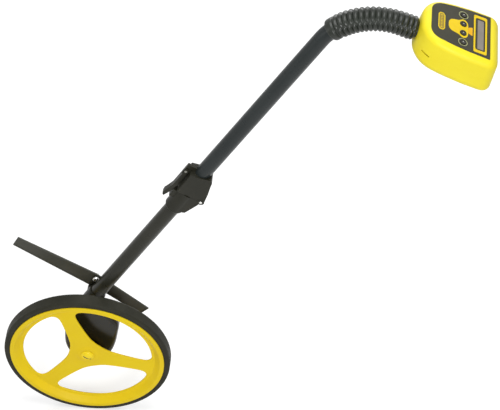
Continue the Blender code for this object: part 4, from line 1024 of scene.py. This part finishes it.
def panel():
    openings = [grown(frame_outline(), GAP)]
    openings += [circle(BUTTON_R + GAP, OPENING_STEPS, BUTTON_U, v) for v in BUTTON_V]
    sheet = plate(face_outline(), -FACE_THICK, 0, openings, round_high=FACE_ROUND, steps=2)
    finished(scene_object("face_panel", sheet, HEAD_FRAME), LOOKS["panel_black"], "upper", ["panel"])


def display():
    """The yellow frame, a dark sill inside it, the window, and a dark sheet with the painted shade of the
    sill on the window.
    """
    outline = lens_outline()
    around = [grown(outline, GAP)]
    step = grown(outline, SILL_WIDTH)
    rim = plate(frame_outline(), -FACE_THICK, FACE_PROUD, [grown(step, GAP)], round_high=FRAME_ROUND)
    finished(scene_object("display_rim", rim, HEAD_FRAME), LOOKS["ink_yellow"], "upper", ["display_frame"])
    sill = plate(step, -FACE_THICK, SILL_PROUD, around, round_high=PRINT_ROUND, steps=2)
    finished(scene_object("display_sill", sill, HEAD_FRAME), LOOKS["panel_black"], "upper", ())
    lens = plate(outline, -FACE_THICK, -LENS_SUNK, round_high=LENS_ROUND, steps=2)
    finished(scene_object("display_lens", lens, HEAD_FRAME), LOOKS["display_grey"], "upper",
             ["display_window"])
    # A dark sheet over the window's edge, shifted so it is wider at the far and top sides: painted shade of
    # the sill, not a part
    shift_u, shift_v = LENS_SHADE_SHIFT
    shown = [Vector((u + shift_u, v + shift_v)) for u, v in grown(outline, -LENS_SHADE)]
    edge = plate(outline, *LENS_SHADE_LEVELS, [shown])
    finished(scene_object("display_painted_shade", edge, HEAD_FRAME), LOOKS["panel_black"], "upper")


def prints():
    """The yellow field round the middle buttons, its tab, a badge with plain marks, and two button rings."""
    holes = [circle(BUTTON_R + FIELD_GAP, OPENING_STEPS, BUTTON_U, v) for v in BUTTON_V[1:3]]
    bulb = printed("key_field", bulb_outline(), "ink_yellow", holes)
    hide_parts("panel_inlay")
    printed("field_tab", tab_outline(), "ink_orange")
    badge = badge_outline()
    field = grown(badge, -BADGE_BORDER)
    printed("badge_border", badge, "ink_yellow", [field])
    printed("badge_field", grown(field, -BADGE_GAP), "ink_olive", (), BADGE_FIELD_PROUD)
    for i in range(BADGE_MARKS):
        v = BADGE_MARK_PITCH * (i - BADGE_MARKS // 2)
        half = BADGE_MARK_LONG if i % BADGE_LONG_EVERY == 0 else BADGE_MARK_SHORT
        mark = rounded(rectangle(half, BADGE_MARK_HALF, BADGE_MARK_U, v), BADGE_MARK_CORNER, steps=2)
        printed(f"badge_mark_{i + 1}", mark, "ink_yellow", (), BADGE_MARK_PROUD)
    outer, inner = KEY_RING_R
    for i, v in enumerate((BUTTON_V[0], BUTTON_V[3])):
        printed(f"key_ring_{i + 1}", circle(outer, KEY_STEPS, BUTTON_U, v), "ring_ink",
                [circle(inner, KEY_STEPS, BUTTON_U, v)])


def keys():
    """Domed push buttons with a pale generic mark in the middle of each."""
    for i, (v, body) in enumerate(zip(BUTTON_V, BUTTON_BODIES)):
        at = HEAD_FRAME @ Matrix.Translation((BUTTON_U, v, 0))
        cap = scene_object(f"key_{i + 1}", turned(chain(BUTTON_PROFILE, steps=4), KEY_STEPS), at)
        finished(cap, LOOKS["black_plastic"], body, [f"button_{i + 1}"], sharp=40.0)
        dot = scene_object(f"key_mark_{i + 1}", turned(chain(DOT_PROFILE, steps=3), DOT_STEPS), at)
        finished(dot, LOOKS["glyph_ink"], body)


# Solids that keep their shape

WELD_WITHIN = 0.000002
FLAT_WITHIN = math.radians(0.6)
SOFT_OVER = math.radians(34)
SOFT_EDGE = 0.0001
SOFT_EDGES = {
    "fold_bracket_lower": 0.0010, "fold_bracket_upper": 0.0012, "latch_lever": 0.0010, "kickstand": 0.0004,
    "pole_socket": 0.0010, "battery_door": 0.0004, "battery_tray": 0.0003, "fold_pin": 0.0002,
    "latch_pin": 0.0002, "stand_bolt": 0.0002, "stand_nut": 0.0002, "axle_bolt": 0.0004, "axle_nut": 0.0002,
}
NODE_LOOKS = {
    "battery_door": "head_yellow", "latch_pin": "dull_steel", "kickstand": "pale_coated_metal",
}


def dress_solids():
    """Gives every solid that still shows its material, soft edges and smooth shading."""
    for name, obj in frame["nodes"].items():
        if obj.hide_render:
            continue
        slots = [m.name.split(".")[0] for m in obj.data.materials if m]
        kind = NODE_LOOKS.get(name) or (slots[0] if slots else "black_plastic")
        look = LOOKS.get(kind) or LOOKS["black_plastic"]
        for i in range(max(1, len(obj.material_slots))):
            if obj.material_slots:
                obj.material_slots[i].material = look
            else:
                obj.data.materials.append(look)
        custom = obj.data.attributes.get("custom_normal")
        if custom:
            obj.data.attributes.remove(custom)
        obj.data.shade_smooth()
        weld = obj.modifiers.new("weld", "WELD")
        weld.merge_threshold = WELD_WITHIN
        flat = obj.modifiers.new("flat", "DECIMATE")
        flat.decimate_type = "DISSOLVE"
        flat.angle_limit = FLAT_WITHIN
        soften = obj.modifiers.new("soften", "BEVEL")
        soften.width = SOFT_EDGES.get(name, SOFT_EDGE)
        soften.segments = 2
        soften.limit_method = "ANGLE"
        soften.angle_limit = SOFT_OVER
        soften.use_clamp_overlap = True
        obj.modifiers.new("weigh", "WEIGHTED_NORMAL")


# Room

def placed(name, data):
    made = bpy.data.objects.new(name, data)
    bpy.context.scene.collection.objects.link(made)
    return made


def camera():
    data = bpy.data.cameras.new("camera")
    data.sensor_width = CAMERA_SENSOR
    data.lens = CAMERA_LENS
    level = math.cos(CAMERA_ELEVATION)
    back = Vector((math.sin(CAMERA_AZIMUTH) * level, -math.cos(CAMERA_AZIMUTH) * level,
                   math.sin(CAMERA_ELEVATION)))
    right = Vector((math.cos(CAMERA_AZIMUTH), math.sin(CAMERA_AZIMUTH), 0))
    place = Matrix((right, back.cross(right), back)).transposed().to_4x4()
    place.translation = Vector(CAMERA_AIM) + back * CAMERA_DISTANCE
    made = placed("camera", data)
    made.matrix_world = place
    bpy.context.scene.camera = made


def lamps():
    for name, place, aim, size, power in LAMPS:
        data = bpy.data.lights.new(name, "AREA")
        data.shape = "RECTANGLE"
        data.size, data.size_y = size
        data.energy = power
        made = placed(name, data)
        made.location = place
        made.rotation_mode = "QUATERNION"
        made.rotation_quaternion = (Vector(place) - Vector(aim)).to_track_quat("Z", "Y")


def seen_directly(tree):
    """One where a camera, glossy or transmission ray arrives, and zero for the light on the object."""
    path = tree.nodes.new("ShaderNodeLightPath")
    total = path.outputs["Is Camera Ray"]
    for ray in ("Is Glossy Ray", "Is Transmission Ray"):
        step = tree.nodes.new("ShaderNodeMath")
        step.operation = "MAXIMUM"
        tree.links.new(total, step.inputs[0])
        tree.links.new(path.outputs[ray], step.inputs[1])
        total = step.outputs["Value"]
    return total


def world():
    made = bpy.data.worlds.new("studio")
    bpy.context.scene.world = made
    made.use_nodes = True
    tree = made.node_tree
    shade = tree.nodes["Background"]
    shade.inputs["Color"].default_value = (1, 1, 1, 1)
    tree.links.new(ramp(tree, seen_directly(tree), 0, 1, WORLD_LIGHT, 1.0), shade.inputs["Strength"])


def floor():
    shape = bmesh.new()
    bmesh.ops.create_grid(shape, x_segments=2, y_segments=2, size=FLOOR_HALF)
    made = scene_object("floor", shape, Matrix.Translation((0, 0, FLOOR_LEVEL)))
    look, tree, shader = node_material("floor_paper")
    shader.inputs["Base Color"].default_value = (FLOOR_TONE, FLOOR_TONE, FLOOR_TONE, 1)
    shader.inputs["Roughness"].default_value = FLOOR_ROUGH
    shader.inputs["Specular IOR Level"].default_value = 0
    shader.inputs["Emission Color"].default_value = (1, 1, 1, 1)
    tree.links.new(ramp(tree, seen_directly(tree), 0, 1, 0, FLOOR_GLOW), shader.inputs["Emission Strength"])
    made.data.materials.append(look)


def room():
    camera()
    world()
    floor()
    lamps()
    bpy.context.scene.view_settings.view_transform = "Standard"


room()
wheel_rim()
tyre()
hub_cap()
housing()
tube("tube_lower", TUBE_FOOT, FOLD_ALONG - GAP, "frame", "lower_tube", "black_coated_metal")
tube("tube_upper", FOLD_ALONG + GAP, HEAD_FROM + HEAD_LENGTH * TUBE_IN_HEAD, "upper", "upper_tube",
     "cool_coated_metal")
grip()
head_shells()
panel()
display()
prints()
keys()
dress_solids()
